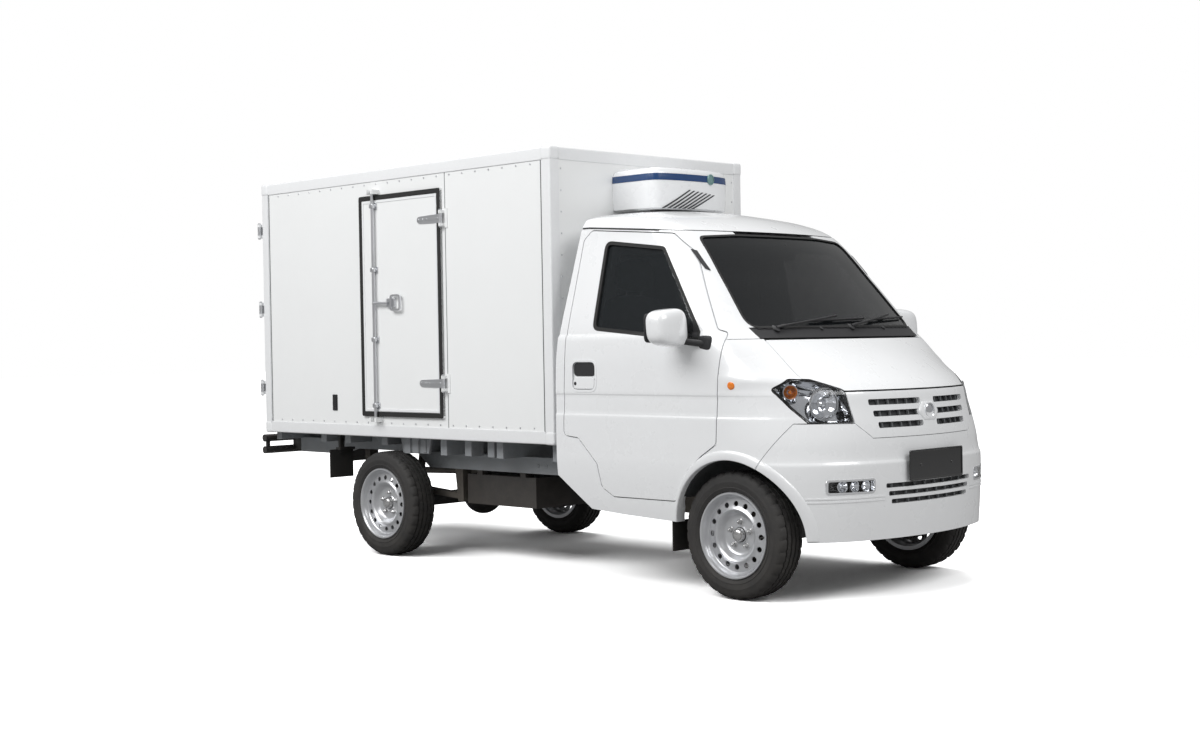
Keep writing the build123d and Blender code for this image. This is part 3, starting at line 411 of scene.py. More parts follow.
def carve(base, keep=(), away=()):
    """Mesh of the base cut to the keep solids and freed of the away solids."""
    for others, operation in ((keep, "INTERSECT"), (away, "DIFFERENCE")):
        for other in others:
            cut = base.modifiers.new("cut", "BOOLEAN")
            cut.operation = operation
            cut.object = other
            cut.solver = "MANIFOLD"
    bpy.context.view_layer.update()
    mesh = bpy.data.meshes.new_from_object(base.evaluated_get(bpy.context.evaluated_depsgraph_get()))
    base.modifiers.clear()
    return mesh


usual_slots = {
    "body_white": (white_paint, pale_trim, blue_stripe), "box_white": (rail_paint,),
    "trim_black": (black_plastic, gloss_black, louvre_dark), "trim_grey": (grey_plastic,),
    "rubber": (rubber,), "glass": (screen_glass, side_glass), "lamp": (lamp_lens, chrome, amber_lens),
    "zinc": (zinc, wheel_nut, mirror_glass, badge_green), "tyre": (tyre_rubber,), "rim": (wheel_paint,),
    "fabric": (seat_cloth,), "chassis_grey": (chassis_grey,), "iron": (cast_iron,),
}
slot_of = {material.name: slot for slot, materials in usual_slots.items() for material in materials}


def made(mesh, name, material, body="chassis", slot=None, replaces=(), sharp=32):
    """Piece of the truck from a finished mesh, with its finish, riding on its body."""
    obj = linked(name, mesh)
    mesh.name = name
    mesh.materials.clear()
    mesh.materials.append(material)
    mesh.polygons.foreach_set("use_smooth", [True] * len(mesh.polygons))
    mesh.set_sharp_from_angle(angle=radians(sharp))
    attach(obj, body)
    slot or slot_of[material.name]
    if replaces:
        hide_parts(*replaces)
    return obj


def pair(mesh, name, material, body="chassis", replaces=(), **more):
    """A right piece and its mirrored left piece; body and replaces give names without their side."""
    other = mesh.copy()
    other.transform(Matrix.Scale(-1, 4, (0, 1, 0)))
    other.flip_normals()
    for side, own in (("right", mesh), ("left", other)):
        made(own, f"{name}_{side}", material, body if body == "chassis" else f"{body}_{side}",
             replaces=[f"{node}_{side}" for node in replaces], **more)


# Form of the cab. Rows are height, nose x, corner x, corner y, half width, rear x and sink share
cab_rows = (
    (270, 556, 486, 450, 738, -1062, 0.0), (420, 564, 495, 450, 762, -1064, 0.0), (560, 568, 499, 450, 777, -1065, 0.0),
    (600, 568, 498, 450, 779, -1065, 0.0), (616, 561, 490, 450, 779, -1065, 0.0),
    (700, 555, 478, 450, 780, -1065, 0.0), (845, 530, 441, 450, 780, -1065, 0.1), (914, 516, 421, 455, 779, -1065, 0.2),
    (945, 488, 352, 530, 778.5, -1065, 0.5), (975, 446, 283, 590, 778, -1064, 0.6),
    (1050, 337, 190, 594, 777, -1062, 0.6), (1110, 233, 122, 596, 774, -1058, 0.6),
    (1150, 164, 74, 597, 771, -1054, 0.5), (1170, 141, 48, 604, 768.5, -1053, 0.5),
    (1186, 123, 28, 610, 759, -1051, 0.4), (1198, 110, 13, 614, 757, -1050, 0.4),
    (1420, -94, -174, 572, 704, -1032, 0.5), (1642, -300, -373, 529, 650, -1015, 0.6),
    (1690, -378, -450, 515, 640, -1008, 0.8), (1735, -490, -575, 480, 612, -1004, 0.9),
    (1772, -650, -730, 330, 440, -1003, 1.0), (1795, -830, -870, 130, 180, -1003, 1.0),
)
belt_groove = (800, 905, 4.0, 10.0)


def calm_slopes(heights, values):
    """Slopes at each height for a curve that doesn't overshoot its values."""
    rises = [(values[i + 1] - values[i]) / (heights[i + 1] - heights[i]) for i in range(len(values) - 1)]
    slopes = [rises[0]]
    for before, after in zip(rises, rises[1:]):
        slopes.append(2 * before * after / (before + after) if before * after > 0 else 0)
    return slopes + [rises[-1]]


cab_heights, *cab_columns = [list(column) for column in zip(*cab_rows)]
cab_slopes = [calm_slopes(cab_heights, column) for column in cab_columns]


def cab_row(height):
    """Nose x, corner x, corner y, half width, rear x and sink share at a height."""
    i = max(k for k in range(len(cab_heights) - 1) if cab_heights[k] <= height or k == 0)
    span = cab_heights[i + 1] - cab_heights[i]
    t = (height - cab_heights[i]) / span
    row = []
    for column, slopes in zip(cab_columns, cab_slopes):
        row.append(column[i] * (1 + 2 * t) * (1 - t) ** 2 + slopes[i] * span * t * (1 - t) ** 2
                   + column[i + 1] * t * t * (3 - 2 * t) - slopes[i + 1] * span * t * t * (1 - t))
    low, high, deep, ease = belt_groove
    sunk = min(max((height - low) / ease, 0), 1, max((high - height) / ease, 0))
    row[3] -= deep * sunk * sunk * (3 - 2 * sunk)
    return row


def cab_arcs(height):
    """Nose radius, its half angle's sine, corner radius and corner centre at a height."""
    nose_x, corner_x, corner_y, half, rear_x, sink = cab_row(height)
    drop = nose_x - corner_x
    nose_radius = (corner_y ** 2 + drop ** 2) / (2 * drop)
    sine = corner_y / nose_radius
    corner_radius = (half - corner_y) / (1 - sine)
    return nose_radius, sine, corner_radius, corner_x - corner_radius * sqrt(1 - sine ** 2), half - corner_radius


def cab_ring(height, depth, fine):
    """Level outline of the cab at a depth inside its skin, anticlockwise from the right rear corner."""
    nose_x, corner_x, corner_y, half, rear_x, sink = cab_row(height)
    nose_radius, sine, corner_radius, centre_x, centre_y = cab_arcs(height)
    tilt = asin(sine)
    right = []
    for k in range(20 * fine):
        right.append((rear_x + depth + (centre_x - rear_x - depth) * k / (20 * fine), -(half - depth)))
    for k in range(12 * fine):
        angle = pi / 2 + (tilt - pi / 2) * k / (12 * fine)
        reach = corner_radius - depth
        right.append((centre_x + reach * cos(angle), -centre_y - reach * sin(angle)))
    inner = nose_radius - depth
    for k in range(16 * fine):
        angle = tilt * (1 - k / (16 * fine))
        right.append((nose_x - nose_radius + inner * cos(angle), -inner * sin(angle)))
    left = [(x, -y) for x, y in reversed(right)]
    rear = [(rear_x + depth, (half - depth) * (1 - k / 5)) for k in range(1, 10)]
    return [(x, y, height - sink * depth) for x, y in right + [(nose_x - depth, 0)] + left + rear]


def cab_form(depth, fine=1):
    """Closed form of the cab at a depth inside its skin."""
    if fine == 1:
        levels = list(range(270, 1740, 60)) + list(range(1740, 1795, 15)) + [1795]
    else:
        levels = sorted(set(range(270, 1735, 18)) | set(range(1735, 1796, 5))
                        | {598, 604, 610, 616, 800, 803, 807, 810, 895, 898, 902, 905, 1170, 1176, 1181, 1186, 1192})
    rings = [cab_ring(height, depth, fine) for height in levels]
    if depth > 0:
        rings[0] = [(x, y, z - 30) for x, y, z in rings[0]]
    first, last = end_faces(len(rings), len(rings[0]))
    return cutter([place for ring in rings for place in ring],
                  [first] + ring_faces(len(rings), len(rings[0])) + [last])


def skin_y(x, z):
    """Distance of the cab's side skin from the middle plane."""
    nose_x, corner_x, corner_y, half, rear_x, sink = cab_row(z)
    nose_radius, sine, corner_radius, centre_x, centre_y = cab_arcs(z)
    if x <= centre_x:
        return half
    if x <= corner_x:
        return centre_y + sqrt(max(corner_radius ** 2 - (x - centre_x) ** 2, 0))
    return sqrt(max(nose_radius ** 2 - (x - nose_x + nose_radius) ** 2, 0))


def skin_x(y, z):
    """How far forward the cab's skin stands at a place across and a height."""
    nose_x, corner_x, corner_y, half, rear_x, sink = cab_row(z)
    nose_radius, sine, corner_radius, centre_x, centre_y = cab_arcs(z)
    if abs(y) <= corner_y:
        return nose_x - nose_radius + sqrt(nose_radius ** 2 - y * y)
    return centre_x + sqrt(max(corner_radius ** 2 - (abs(y) - centre_y) ** 2, 0))


# Solids made from outlines; each returns places in millimetres and faces
def stacked(layers, at):
    """Solid through outlines of one length, each given with its depth."""
    size = len(layers), len(layers[0][0])
    return [at(u, v, d) for outline, d in layers for u, v in outline], end_faces(*size) + ring_faces(*size)


def looped(loops, at):
    """Closed frame through outlines of one length, each given with its depth."""
    return [at(u, v, d) for outline, d in loops for u, v in outline], ring_faces(len(loops), len(loops[0][0]), True)


def plate(outline, at, low, high, edge=1.5):
    """Plate with eased edges."""
    small = inset(outline, edge)
    return stacked(((small, low), (outline, low + edge), (outline, high - edge), (small, high)), at)


def ring_plate(corners, radius, width, at, low, high, edge=1.2):
    """Frame of one width along a cornered outline, with rounded corners and eased edges."""
    def loop(step):
        return eased(inset(corners, step), max(radius - step, 1.5)) if step else eased(corners, radius)
    return looped(((loop(0), low), (loop(0), high - edge), (loop(edge), high), (loop(width - edge), high),
                   (loop(width), high - edge), (loop(width), low)), at)


def turned(profile, at, steps=48):
    """Ring solid turned from a closed profile of radius and depth."""
    places = [at(r * cos(2 * pi * k / steps), r * sin(2 * pi * k / steps), d) for k in range(steps) for r, d in profile]
    return places, ring_faces(steps, len(profile), True)


def dome(u, v, radius, low, height, at, steps=10):
    """Low round head, such as a rivet or a bolt."""
    return stacked([(circle(u, v, radius * share, steps), low + height * rise)
                    for share, rise in ((1, 0), (0.97, 0.35), (0.75, 0.8), (0.35, 1))], at)


def tube(points, radius, steps=12):
    """Round bar along points."""
    path = [Vector(point) for point in points]
    places, side = [], None
    for i, point in enumerate(path):
        ahead = (path[min(i + 1, len(path) - 1)] - path[max(i - 1, 0)]).normalized()
        side = ahead.orthogonal() if side is None else side
        side = (side - ahead * side.dot(ahead)).normalized()
        other = ahead.cross(side)
        places += [tuple(point + side * u + other * v) for u, v in circle(0, 0, radius, steps)]
    return places, end_faces(len(path), steps) + ring_faces(len(path), steps)


def pillow(low, high, power=4.5, cells=14, shape=None):
    """Rounded block between two corners; shape moves each of its places."""
    middle = [(a + b) / 2 for a, b in zip(low, high)]
    reach = [(b - a) / 2 for a, b in zip(low, high)]
    places, faces = [], []
    for axis, end in ((axis, end) for axis in range(3) for end in (-1, 1)):
        first = len(places)
        for i, j in ((i, j) for i in range(cells + 1) for j in range(cells + 1)):
            unit = [0.0, 0.0, 0.0]
            unit[axis] = end
            unit[(axis + 1) % 3] = 2 * i / cells - 1
            unit[(axis + 2) % 3] = 2 * j / cells - 1
            size = sum(abs(c) ** power for c in unit) ** (1 / power)
            unit = [c / size for c in unit]
            if shape:
                unit = shape(*unit)
            places.append(tuple(m + r * c for m, r, c in zip(middle, reach, unit)))
            if i < cells and j < cells:
                a = first + i * (cells + 1) + j
                faces.append((a, a + 1, a + cells + 2, a + cells + 1))
    return places, faces


def joined(*solids):
    """One clean mesh of several solids."""
    places, faces = [], []
    for own, rings in solids:
        faces += [tuple(i + len(places) for i in face) for face in rings]
        places += own
    mesh = bpy.data.meshes.new("part")
    mesh.from_pydata([spot(*place) for place in places], [], faces)
    work = bmesh.new()
    work.from_mesh(mesh)
    bmesh.ops.remove_doubles(work, verts=work.verts, dist=0.00002)
    bmesh.ops.recalc_face_normals(work, faces=work.faces)
    work.to_mesh(mesh)
    work.free()
    return mesh


def measured(node):
    """Lowest and highest corner of a node, in sketch millimetres."""
    return [((corner.x - front_axle) / MM, corner.y / MM, corner.z / MM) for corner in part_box(node)]


skin = cab_form(0, fine=2)
deep = {depth: cab_form(depth, fine=2 if depth < 16 else 1)
        for depth in (-2, 2, 3, 4, 8, 10, 15, 20, 25, 45, 50, 70, 75)}

# Outlines on the side, x and z, and on the front, y and z
BELT = 1150
roof_split = 1655
door_outline = (
    (-20, 1180), (-43, 687), (-130, 634), (-217, 564), (-275, 484), (-296, 420),
    (-699, 420), (-772, 463), (-795, 575), (-915, 690), (-1015, 700), (-1000, 1200),
    (-985, 1640), (-935, 1686), (-428, 1646), (-298, 1548), (-68, 1195),
)
cab_side_outline = (
    *door_outline[1:6], (-300, 327), (-653, 342), (-854, 356), (-1061, 507), (-1090, 507),
    (-1090, roof_split + 41), (-955, roof_split + 41), (-428, roof_split + 1),
    (-200, roof_split - 2), (200, 1196), (200, BELT), (-21.4, BELT),
)
fender_outline = ((-21.4, BELT - SEAM), (600, BELT - SEAM), (600, 200), (-300, 200), (-300, 327), (-295, 420),
                  (-274, 484), (-216, 563), (-129, 633), (-42, 686))
grille_outline = ((-459, 914), (-446.4, 775.4), (-371, 709.3), (371, 709.3), (446.4, 775.4), (459, 914))
rear_window_outline = ((-440, 1260), (440, 1260), (425, 1580), (-425, 1580))
door_shape = eased(door_outline, 34)
door_inside = -575
window_shape = eased(((-832, 1202), (-834, 1630), (-442, 1583), (-104, 1135)), 42)
screen_shape = eased(((-612, 1200), (612, 1200), (530, 1628), (300, 1640), (-300, 1640), (-530, 1628)), 46)
lamp_shape = eased(((-700, 929), (-640, 972), (-560, 967), (-459, 920), (-447, 775), (-622, 778), (-662, 847)), 22)
handle_shape = eased(((-956, 914), (-788, 914), (-788, 1062), (-956, 1062)), 40)
intake_rows = ((290, 432), (306, 467), (322, 502))
grille_rows = ((330, 765), (345, 815), (360, 865))
arch_x, arch_z, arch_radius = 18, 290, 332
arch_right = cross_rod(arch_x, arch_z, arch_radius, -900, -402)
arch_left = cross_rod(arch_x, arch_z, arch_radius, 402, 900)
door_arch = cross_rod(arch_x, arch_z, arch_radius + 7, -900, -600)


def lamp_cut(distance, back=NOSE[0], both=False):
    """Cutter inside the right headlight's outline, or on both sides of the nose."""
    shape = inset(lamp_shape, distance)
    shapes = [shape, [(-y, z) for y, z in shape]] if both else [shape]
    return [front_prism(own, (back, NOSE[1])) for own in shapes]


# Cab panels
roof_cut = side_prism(((-1100, roof_split + 43 + SEAM), (-955, roof_split + 43 + SEAM), (-428, roof_split + 3 + SEAM),
                       (-200, roof_split + SEAM), (-200, 1900), (-1100, 1900)), -900, 900)
made(carve(skin, [roof_cut], [deep[50]]), "roof_panel", white_paint, replaces=["roof"])
rear_cut = side_prism(((-1100, 565), (-950, 565), (-950, roof_split + 36), (-1100, roof_split + 41)), -558, 558)
made(carve(skin, [rear_cut], [deep[50], front_prism(eased(rear_window_outline, 40), REAR)]),
     "rear_wall_panel", white_paint, replaces=["rear_panel"])
made(carve(deep[3], [front_prism(eased(inset(rear_window_outline, 2), 38), REAR)], [deep[8]]),
     "rear_window_glass", side_glass, replaces=["rear_window"])
made(carve(deep[-2], [front_prism(eased(inset(rear_window_outline, -14), 44), REAR)],
           [deep[2], front_prism(eased(inset(rear_window_outline, 10), 32), REAR)]), "rear_window_seal", rubber)
made(carve(deep[3], [front_prism(inset(screen_shape, 3), SCREEN)], [deep[8]]), "windshield_glass", screen_glass,
     replaces=["windshield"])
for outer, inner, depth, name, material in ((4, 30, 8, "windshield_border", gloss_black),
                                            (-3, 6, -2, "windshield_seal", rubber)):
    made(carve(deep[depth], [front_prism(inset(screen_shape, outer), SCREEN)],
               [deep[10], front_prism(inset(screen_shape, inner), SCREEN)]), name, material)
made(carve(deep[2], [front_prism(((-604, 1152), (604, 1152), (610, 1198), (-610, 1198)), COWL)], [deep[25]]),
     "cowl_panel", black_plastic, replaces=["cowl"])
hood_back = extruded([place[:2] for place in cab_ring(1141, 4, 1)], level_face, 1060, 1200)
made(carve(skin, [block(82, 700, -588, 588, 919, 1143)], [deep[25], hood_back] + lamp_cut(-4.5, both=True)),
     "hood_panel", white_paint, "hood", replaces=["hood"])

# Fenders, cab sides and doors, made on the right and mirrored
bumper_cut = side_prism(((158 - SEAM, 585 + SEAM), (301 - SEAM, 780 + SEAM), (700, 780 + SEAM), (700, 200),
                         (150, 200)), -900, -300)
pair(carve(skin, [side_prism(fender_outline, -900, -300)],
           [deep[25], bumper_cut, block(-400, 700, -591, 0, 100, 1300), *lamp_cut(-3), arch_right,
            block(-400, 700, -900, 0, 100, 340)]), "fender_panel", white_paint, replaces=["fender"])
pair(carve(skin, [side_prism(cab_side_outline, -900, -300)],
           [deep[50], side_prism(door_shape), front_prism(screen_shape, SCREEN),
            front_prism(((-606, BELT), (606, BELT), (614, 1200), (-614, 1200)), COWL),
            block(-1200, -940, -560, 0, 200, 1900), block(-430, 300, -591, 0, 1000, BELT), arch_right]),
     "cab_side_panel", white_paint, replaces=["cab_side"])
pair(carve(skin, [side_prism(inset(door_shape, 4.5), y1=door_inside)],
           [deep[15], side_prism(window_shape), door_arch, side_prism(handle_shape)]),
     "door_panel", white_paint, "cab_door", replaces=["door"])
pair(carve(deep[15], [side_prism(inset(door_shape, 18), y1=door_inside)],
           [deep[50], side_prism(window_shape), door_arch]), "door_inner_panel", pale_trim, "cab_door")
pair(carve(deep[10], [side_prism(inset(window_shape, 1))], [deep[15]]), "door_window_glass", side_glass, "cab_door",
     replaces=["door_glass"])
pair(carve(deep[2], [side_prism(inset(window_shape, -3))], [deep[20], side_prism(inset(window_shape, 17))]),
     "door_window_seal", rubber, "cab_door")
pair(carve(deep[4], [side_prism(inset(window_shape, 5)),
                     side_prism(((-60, 1100), (-176, 1100), (-214, 1300), (-60, 1300)))], [deep[8]]),
     "door_mirror_plate", black_plastic, "cab_door")
pair(carve(deep[15], [side_prism(inset(door_shape, -1), y1=door_inside)],
           [deep[20], side_prism(inset(door_shape, 9), y1=door_inside), door_arch]), "door_frame_seal", rubber)
pair(carve(deep[-2], [side_prism(inset(handle_shape, -3))], [deep[4], side_prism(inset(handle_shape, 8))]),
     "handle_surround", white_paint, "cab_door")
pair(carve(deep[8], [side_prism(inset(handle_shape, -1))], [deep[15]]), "handle_dish", white_paint, "cab_door")
pair(carve(deep[-2], [side_prism(((-328, 1566), (-308, 1559), (-221, 1463), (-238, 1472)), y1=-500)], [deep[2]]),
     "pillar_vent", black_plastic)
gutter_line = [(-1003, roof_split + 39), (-955, roof_split + 39), (-500, roof_split + 4)]
gutter_line += [(x, z + 7) for x, z in reversed(gutter_line)]
pair(carve(deep[-2], [side_prism(gutter_line, y1=-500)], [deep[4]]), "roof_gutter", rubber)

# Grille, with its slots, and the bumper with its intake and lamp pockets
slots = [front_prism(rounded(s * 52, s * half, row - 13, row + 13, 8)) for half, row in grille_rows for s in (-1, 1)]
made(carve(skin, [front_prism(eased(inset(grille_outline, SEAM), 6))], [deep[25]] + lamp_cut(0, both=True) + slots),
     "grille_panel", white_paint, replaces=["grille"])
made(carve(deep[20], [front_prism(inset(grille_outline, 30))], [deep[45]]), "grille_backing", louvre_dark)
bumper_side = side_prism(((158, 585), (301, 780), (700, 780), (700, 200), (150, 200)), -900, 900)
bumper_top = [(371, 709), (447, 775), (622, 778), (690, 780), (900, 780), (900, 1000)]
above_bumper = front_prism([(-y, z) for y, z in bumper_top] + bumper_top[::-1])
intake = [front_prism(rounded(-half, half, row - 10, row + 10, 6)) for half, row in intake_rows]
fog_shapes = [rounded(s * 385, s * 600, 478, 537, 14) for s in (-1, 1)]
made(carve(skin, [bumper_side], [deep[25], above_bumper, arch_right, arch_left] + intake
           + [front_prism(shape) for shape in fog_shapes]), "bumper_panel", white_paint, replaces=["bumper"])
for name, low, high in (("bumper_rib_upper", 455, 462), ("bumper_rib_lower", 440, 446)):
    pair(carve(deep[-2], [front_prism(box_outline(-665, -330, low, high))], [deep[2]]), name, white_paint)
made(carve(deep[20], [front_prism(box_outline(-330, 330, 415, 520))], [deep[45]]), "intake_backing", louvre_dark)

# Headlights and fog lamps: lens, dark surround, bright walls and back
pair(carve(skin, lamp_cut(3), [deep[3]]), "headlight_lens", lamp_lens, sharp=40)
pair(carve(deep[3], lamp_cut(1), [deep[25]] + lamp_cut(9)), "headlight_surround", gloss_black)
pair(carve(deep[70], lamp_cut(1, 100), [deep[75]]), "headlight_back", chrome)
pair(carve(deep[10], lamp_cut(5, 100), [deep[70]] + lamp_cut(9, 90)), "headlight_walls", chrome)
for side, shape in zip(("right", "left"), fog_shapes):
    made(carve(deep[4], [front_prism(inset(shape, 7))], [deep[8]]), f"fog_lamp_lens_{side}", lamp_lens,
         replaces=["front_lamps"])
    made(carve(deep[45], [front_prism(shape)], [deep[50]]), f"fog_lamp_back_{side}", gloss_black, slot="lamp")
    made(carve(deep[-2], [front_prism(inset(shape, -2))], [deep[15], front_prism(inset(shape, 6))]),
         f"fog_lamp_frame_{side}", chrome)

for obj in scratch:
    bpy.data.objects.remove(obj)

# Places on the truck's faces. u is the place across or along, v the height and d how far out
box_back, box_ahead = measured("rear_door_right")[0][0], measured("box_front_wall")[1][0]
wall_out = measured("box_left_wall")[1][1]
box_half = wall_out + 2
box_low, box_high = measured("box_floor")[0][2], measured("box_roof")[1][2] + 2
plate_height, emblem_height = 582, 817
sides = (("right", -1), ("left", 1))


def on_right(u, v, d):
    return (u, -wall_out - d, v)


def on_left(u, v, d):
    return (u, wall_out + d, v)


def on_front(u, v, d):
    return (box_ahead + d, u, v)


def on_rear(u, v, d):
    return (box_back - d, u, v)


def on_nose(u, v, d):
    return (skin_x(u, v) + d, u, v)


def on_emblem(u, v, d):
    return (skin_x(0, emblem_height) + 6 + d, u, emblem_height + v)


def on_plate(u, v, d):
    return (skin_x(0, plate_height) + 2 + d, u, v)


def on_cab_side(u, v, d):
    return (u, -skin_y(u, v) - d, v)


def on_mirror(u, v, d):
    return (-283 - d, u, v)


# Wheels: treaded tyres, pierced steel discs, nuts and caps
def tyre(x, side):
    """Tyre with four long grooves, cut shoulders and ribbed side walls."""
    half = (tyre_high.y - tyre_low.y) / 2 / MM
    steps, tread, groove_bottom = 160, 283, 276
    wall = [(178, 69.5), (194, 70), (199, 75), (208, 79), (212, 81.5), (215, 79.5), (232, half - 0.3), (238, half),
            (241, half - 1.6), (252, half - 2.5), (262, half - 6), (270, half - 9), (276, half - 15), (281, half - 24)]
    profile = [(r, -d) for r, d in wall]
    for groove, top in ((-42, tread), (-14, tread + 1), (14, tread + 1), (42, tread)):
        profile += [(top, groove - 5), (groove_bottom, groove - 4), (groove_bottom, groove + 4), (top, groove + 5)]
    profile += reversed(wall)
    places = []
    for k in range(steps):
        for r, d in profile:
            if k % 5 == 0 and r > 264 and abs(d) > 30:
                r -= 5
            elif k % 5 == 2 and r > 280 and abs(d) < 38:
                r -= 3
            turn = 2 * pi * (k + 0.35 * sin(d / 18)) / steps
            radius = r * tyre_radius / 285
            places.append((x + radius * cos(turn), side * (abs(wheel_y) + d), tyre_radius + radius * sin(turn)))
    return joined((places, ring_faces(steps, len(profile), True)))


disc_profile = (
    (192.5, 70), (192.5, 75), (190, 78), (184, 78), (178, 72), (173, 62), (169.5, 50), (163, 45), (152, 47), (140, 49),
    (128, 50), (123, 54), (116, 57), (109, 54), (102, 46), (93, 28), (85, 22), (72, 20), (42, 20), (38, 24), (34, 24),
    (34, 14), (70, 14), (86, 16), (92, 20), (100, 40), (108, 48), (116, 51), (122, 48), (128, 45), (152, 41),
    (160, 37), (168.7, 34), (168.7, -64), (174, -76), (192.5, -76), (192.5, -70), (177.7, -70), (176, -30), (160, -12),
    (160, 14), (176, 30), (177.7, 70),
)
hand_holes, hand_hole_ring, hand_hole_radius = 16, 140, 12.5
nut_count, nut_ring = 5, 57

for end, x in (("front", 0.0), ("rear", rear_axle_x)):
    for side_name, side in sides:
        def at(u, v, d):
            return (x + u, side * (abs(wheel_y) + d), tyre_radius + v)
        place = f"{end}_{side_name}"
        body = f"wheel_{place}"
        made(tyre(x, side), f"tyre_tread_{place}", tyre_rubber, body, replaces=["tyre_" + place], sharp=28)
        holes = [circle(hand_hole_ring * cos(2 * pi * k / hand_holes), hand_hole_ring * sin(2 * pi * k / hand_holes),
                        hand_hole_radius, 20) for k in range(hand_holes)]
        rim = linked("rim", joined(turned(disc_profile, at, 96)))
        drill = linked("drill", joined(*[stacked(((hole, 25), (hole, 70)), at) for hole in holes]))
        made(carve(rim, [], [drill]), f"wheel_disc_{place}", wheel_paint, body, replaces=["rim_" + place], sharp=40)
        bpy.data.objects.remove(rim)
        bpy.data.objects.remove(drill)
        nuts = [turned(((0, 22), (0, 51), (14, 50), (24, 46), (29, 40), (31, 24), (31, 22)), at, 32)]
        for k in range(nut_count):
            angle = 2 * pi * k / nut_count + 0.3
            u, v = nut_ring * cos(angle), nut_ring * sin(angle)
            nuts += [plate(circle(u, v, 11, 6), at, 19, 36), dome(u, v, 6, 36, 7, at), dome(u, v, 14, 19, 3, at, 16)]
        made(joined(*nuts), f"wheel_nuts_{place}", wheel_nut, body, sharp=40)
        made(joined(tube([at(158, 0, 34), at(154, 0, 50), at(150, 0, 66)], 4.5)), f"wheel_valve_{place}", rubber, body)


# Flares round the front wheel openings
def flare(low_angle, high_angle, width_low, width_high, steps=44):
    """Raised lip that follows the wheel opening on the cab's skin."""
    places = []
    for k in range(steps + 1):
        share = k / steps
        angle = radians(low_angle + (high_angle - low_angle) * share)
        width = width_low + (width_high - width_low) * share
        section = ((0, -6), (0, 4), (2, 7), (6, 8.5), (0.6 * width, 8.5), (0.85 * width, 7), (0.97 * width, 3),
                   (width, -2))
        for along, out in section:
            r = arch_radius - 1 + along
            x, z = arch_x + r * cos(angle), arch_z + r * sin(angle)
            places.append((x, -skin_y(x, max(z, 272)) - out, z))
    return places, end_faces(steps + 1, len(section)) + ring_faces(steps + 1, len(section))


pair(joined(flare(-2, 62.5, 40, 44), flare(63.5, 112, 44, 42), flare(112, 173, 42, 9)), "wheel_flare", white_paint)


# Headlight reflectors and bulbs
def reflector(y, z, radius, turn, back=24, hollow=38):
    """Round bowl that faces forwards and a little outwards, and how to place things in it."""
    ahead = Vector((cos(turn), -sin(turn), 0))
    across = Vector((sin(turn), cos(turn), 0))
    middle = Vector((skin_x(y, z), y, z)) - ahead * back

    def at(u, v, d):
        return tuple(middle + across * u + Vector((0, 0, v)) + ahead * d)
    bowl = [(radius * k / 8, -hollow * (1 - (k / 8) ** 2)) for k in range(9)]
    bowl += [(radius + 4, 0), (radius + 4, 3), (radius, 3)] + [(r * 0.96, d + 3) for r, d in reversed(bowl[:-1])]
    return turned(bowl, at, 40), at


main_radius = 60
main_bowl, in_main = reflector(-548, 862, main_radius, 0.42)
turn_bowl, in_turn = reflector(-650, 915, 30, 0.75)
bright = [main_bowl, turned(((0, -10), (0, 0), (9, -2), (15, -8), (15, -10)), in_main, 24),
          looped([(circle(0, 0, main_radius + more, 40), d) for more, d in ((12, 0), (12, 5), (5, 5), (5, 0))],
                 in_main), turn_bowl]
bright += [reflector(y, 507, 22, turn, back, 18)[0]
           for y, turn, back in ((-420, 0.1, 16), (-474, 0.2, 20), (-528, 0.4, 27))]
pair(joined(*bright), "headlight_reflector", chrome)
pair(joined(turned(((0, -30), (0, -2), (6, -4), (9, -12), (8, -30)), in_turn, 20)), "indicator_bulb", amber_lens)

# Grille bars, emblem boss, number plate and intake bars
bars = [(s * y, row, 14) for half, row in grille_rows for s in (-1, 1) for y in range(78, half - 10, 56)]
bars += [(y, row, 11) for half, row in intake_rows for y in range(-half + 40, half - 20, 72)]
made(joined(*[plate(box_outline(y - 4, y + 4, row - tall, row + tall), on_nose, -18, -7, 1) for y, row, tall in bars]),
     "grille_bars", grey_plastic)
boss = eased(((-78, 815), (-40, 858), (40, 858), (78, 815), (40, 776), (-40, 776)), 16)
made(joined(stacked(((inset(boss, -4), -8), (boss, 2), (inset(boss, 6), 5), (inset(boss, 14), 6)), on_nose)),
     "emblem_boss", white_paint)
made(joined(looped([(circle(0, 0, radius, 36), d) for radius, d in ((35, -4), (35, 3), (32, 5), (29, 3), (29, -4))],
                   on_emblem)), "emblem_ring", chrome, slot="zinc")
made(joined(dome(0, 0, 29, -3, 4, on_emblem, 36)), "emblem_face", wheel_paint, slot="zinc")
front_plate = box_outline(-205, 205, 515, 650)
made(joined(plate(eased(front_plate, 10), on_plate, 0, 5), ring_plate(front_plate, 10, 8, on_plate, 4, 8),
            *[dome(y, plate_height, 7, 5, 3, on_plate) for y in (-120, 120)]), "front_plate", gloss_black)


# Cowl with washer nozzles, air slots and wipers
def along_glass(start, end, out_start, out_end, steps=8):
    """Points between two places on the glass, each a little off it."""
    points = []
    for k in range(steps + 1):
        t = k / steps
        y, z = start[0] + (end[0] - start[0]) * t, start[1] + (end[1] - start[1]) * t
        out = out_start + (out_end - out_start) * t
        points.append((skin_x(y, z) + out, y, z + 0.7 * out))
    return points


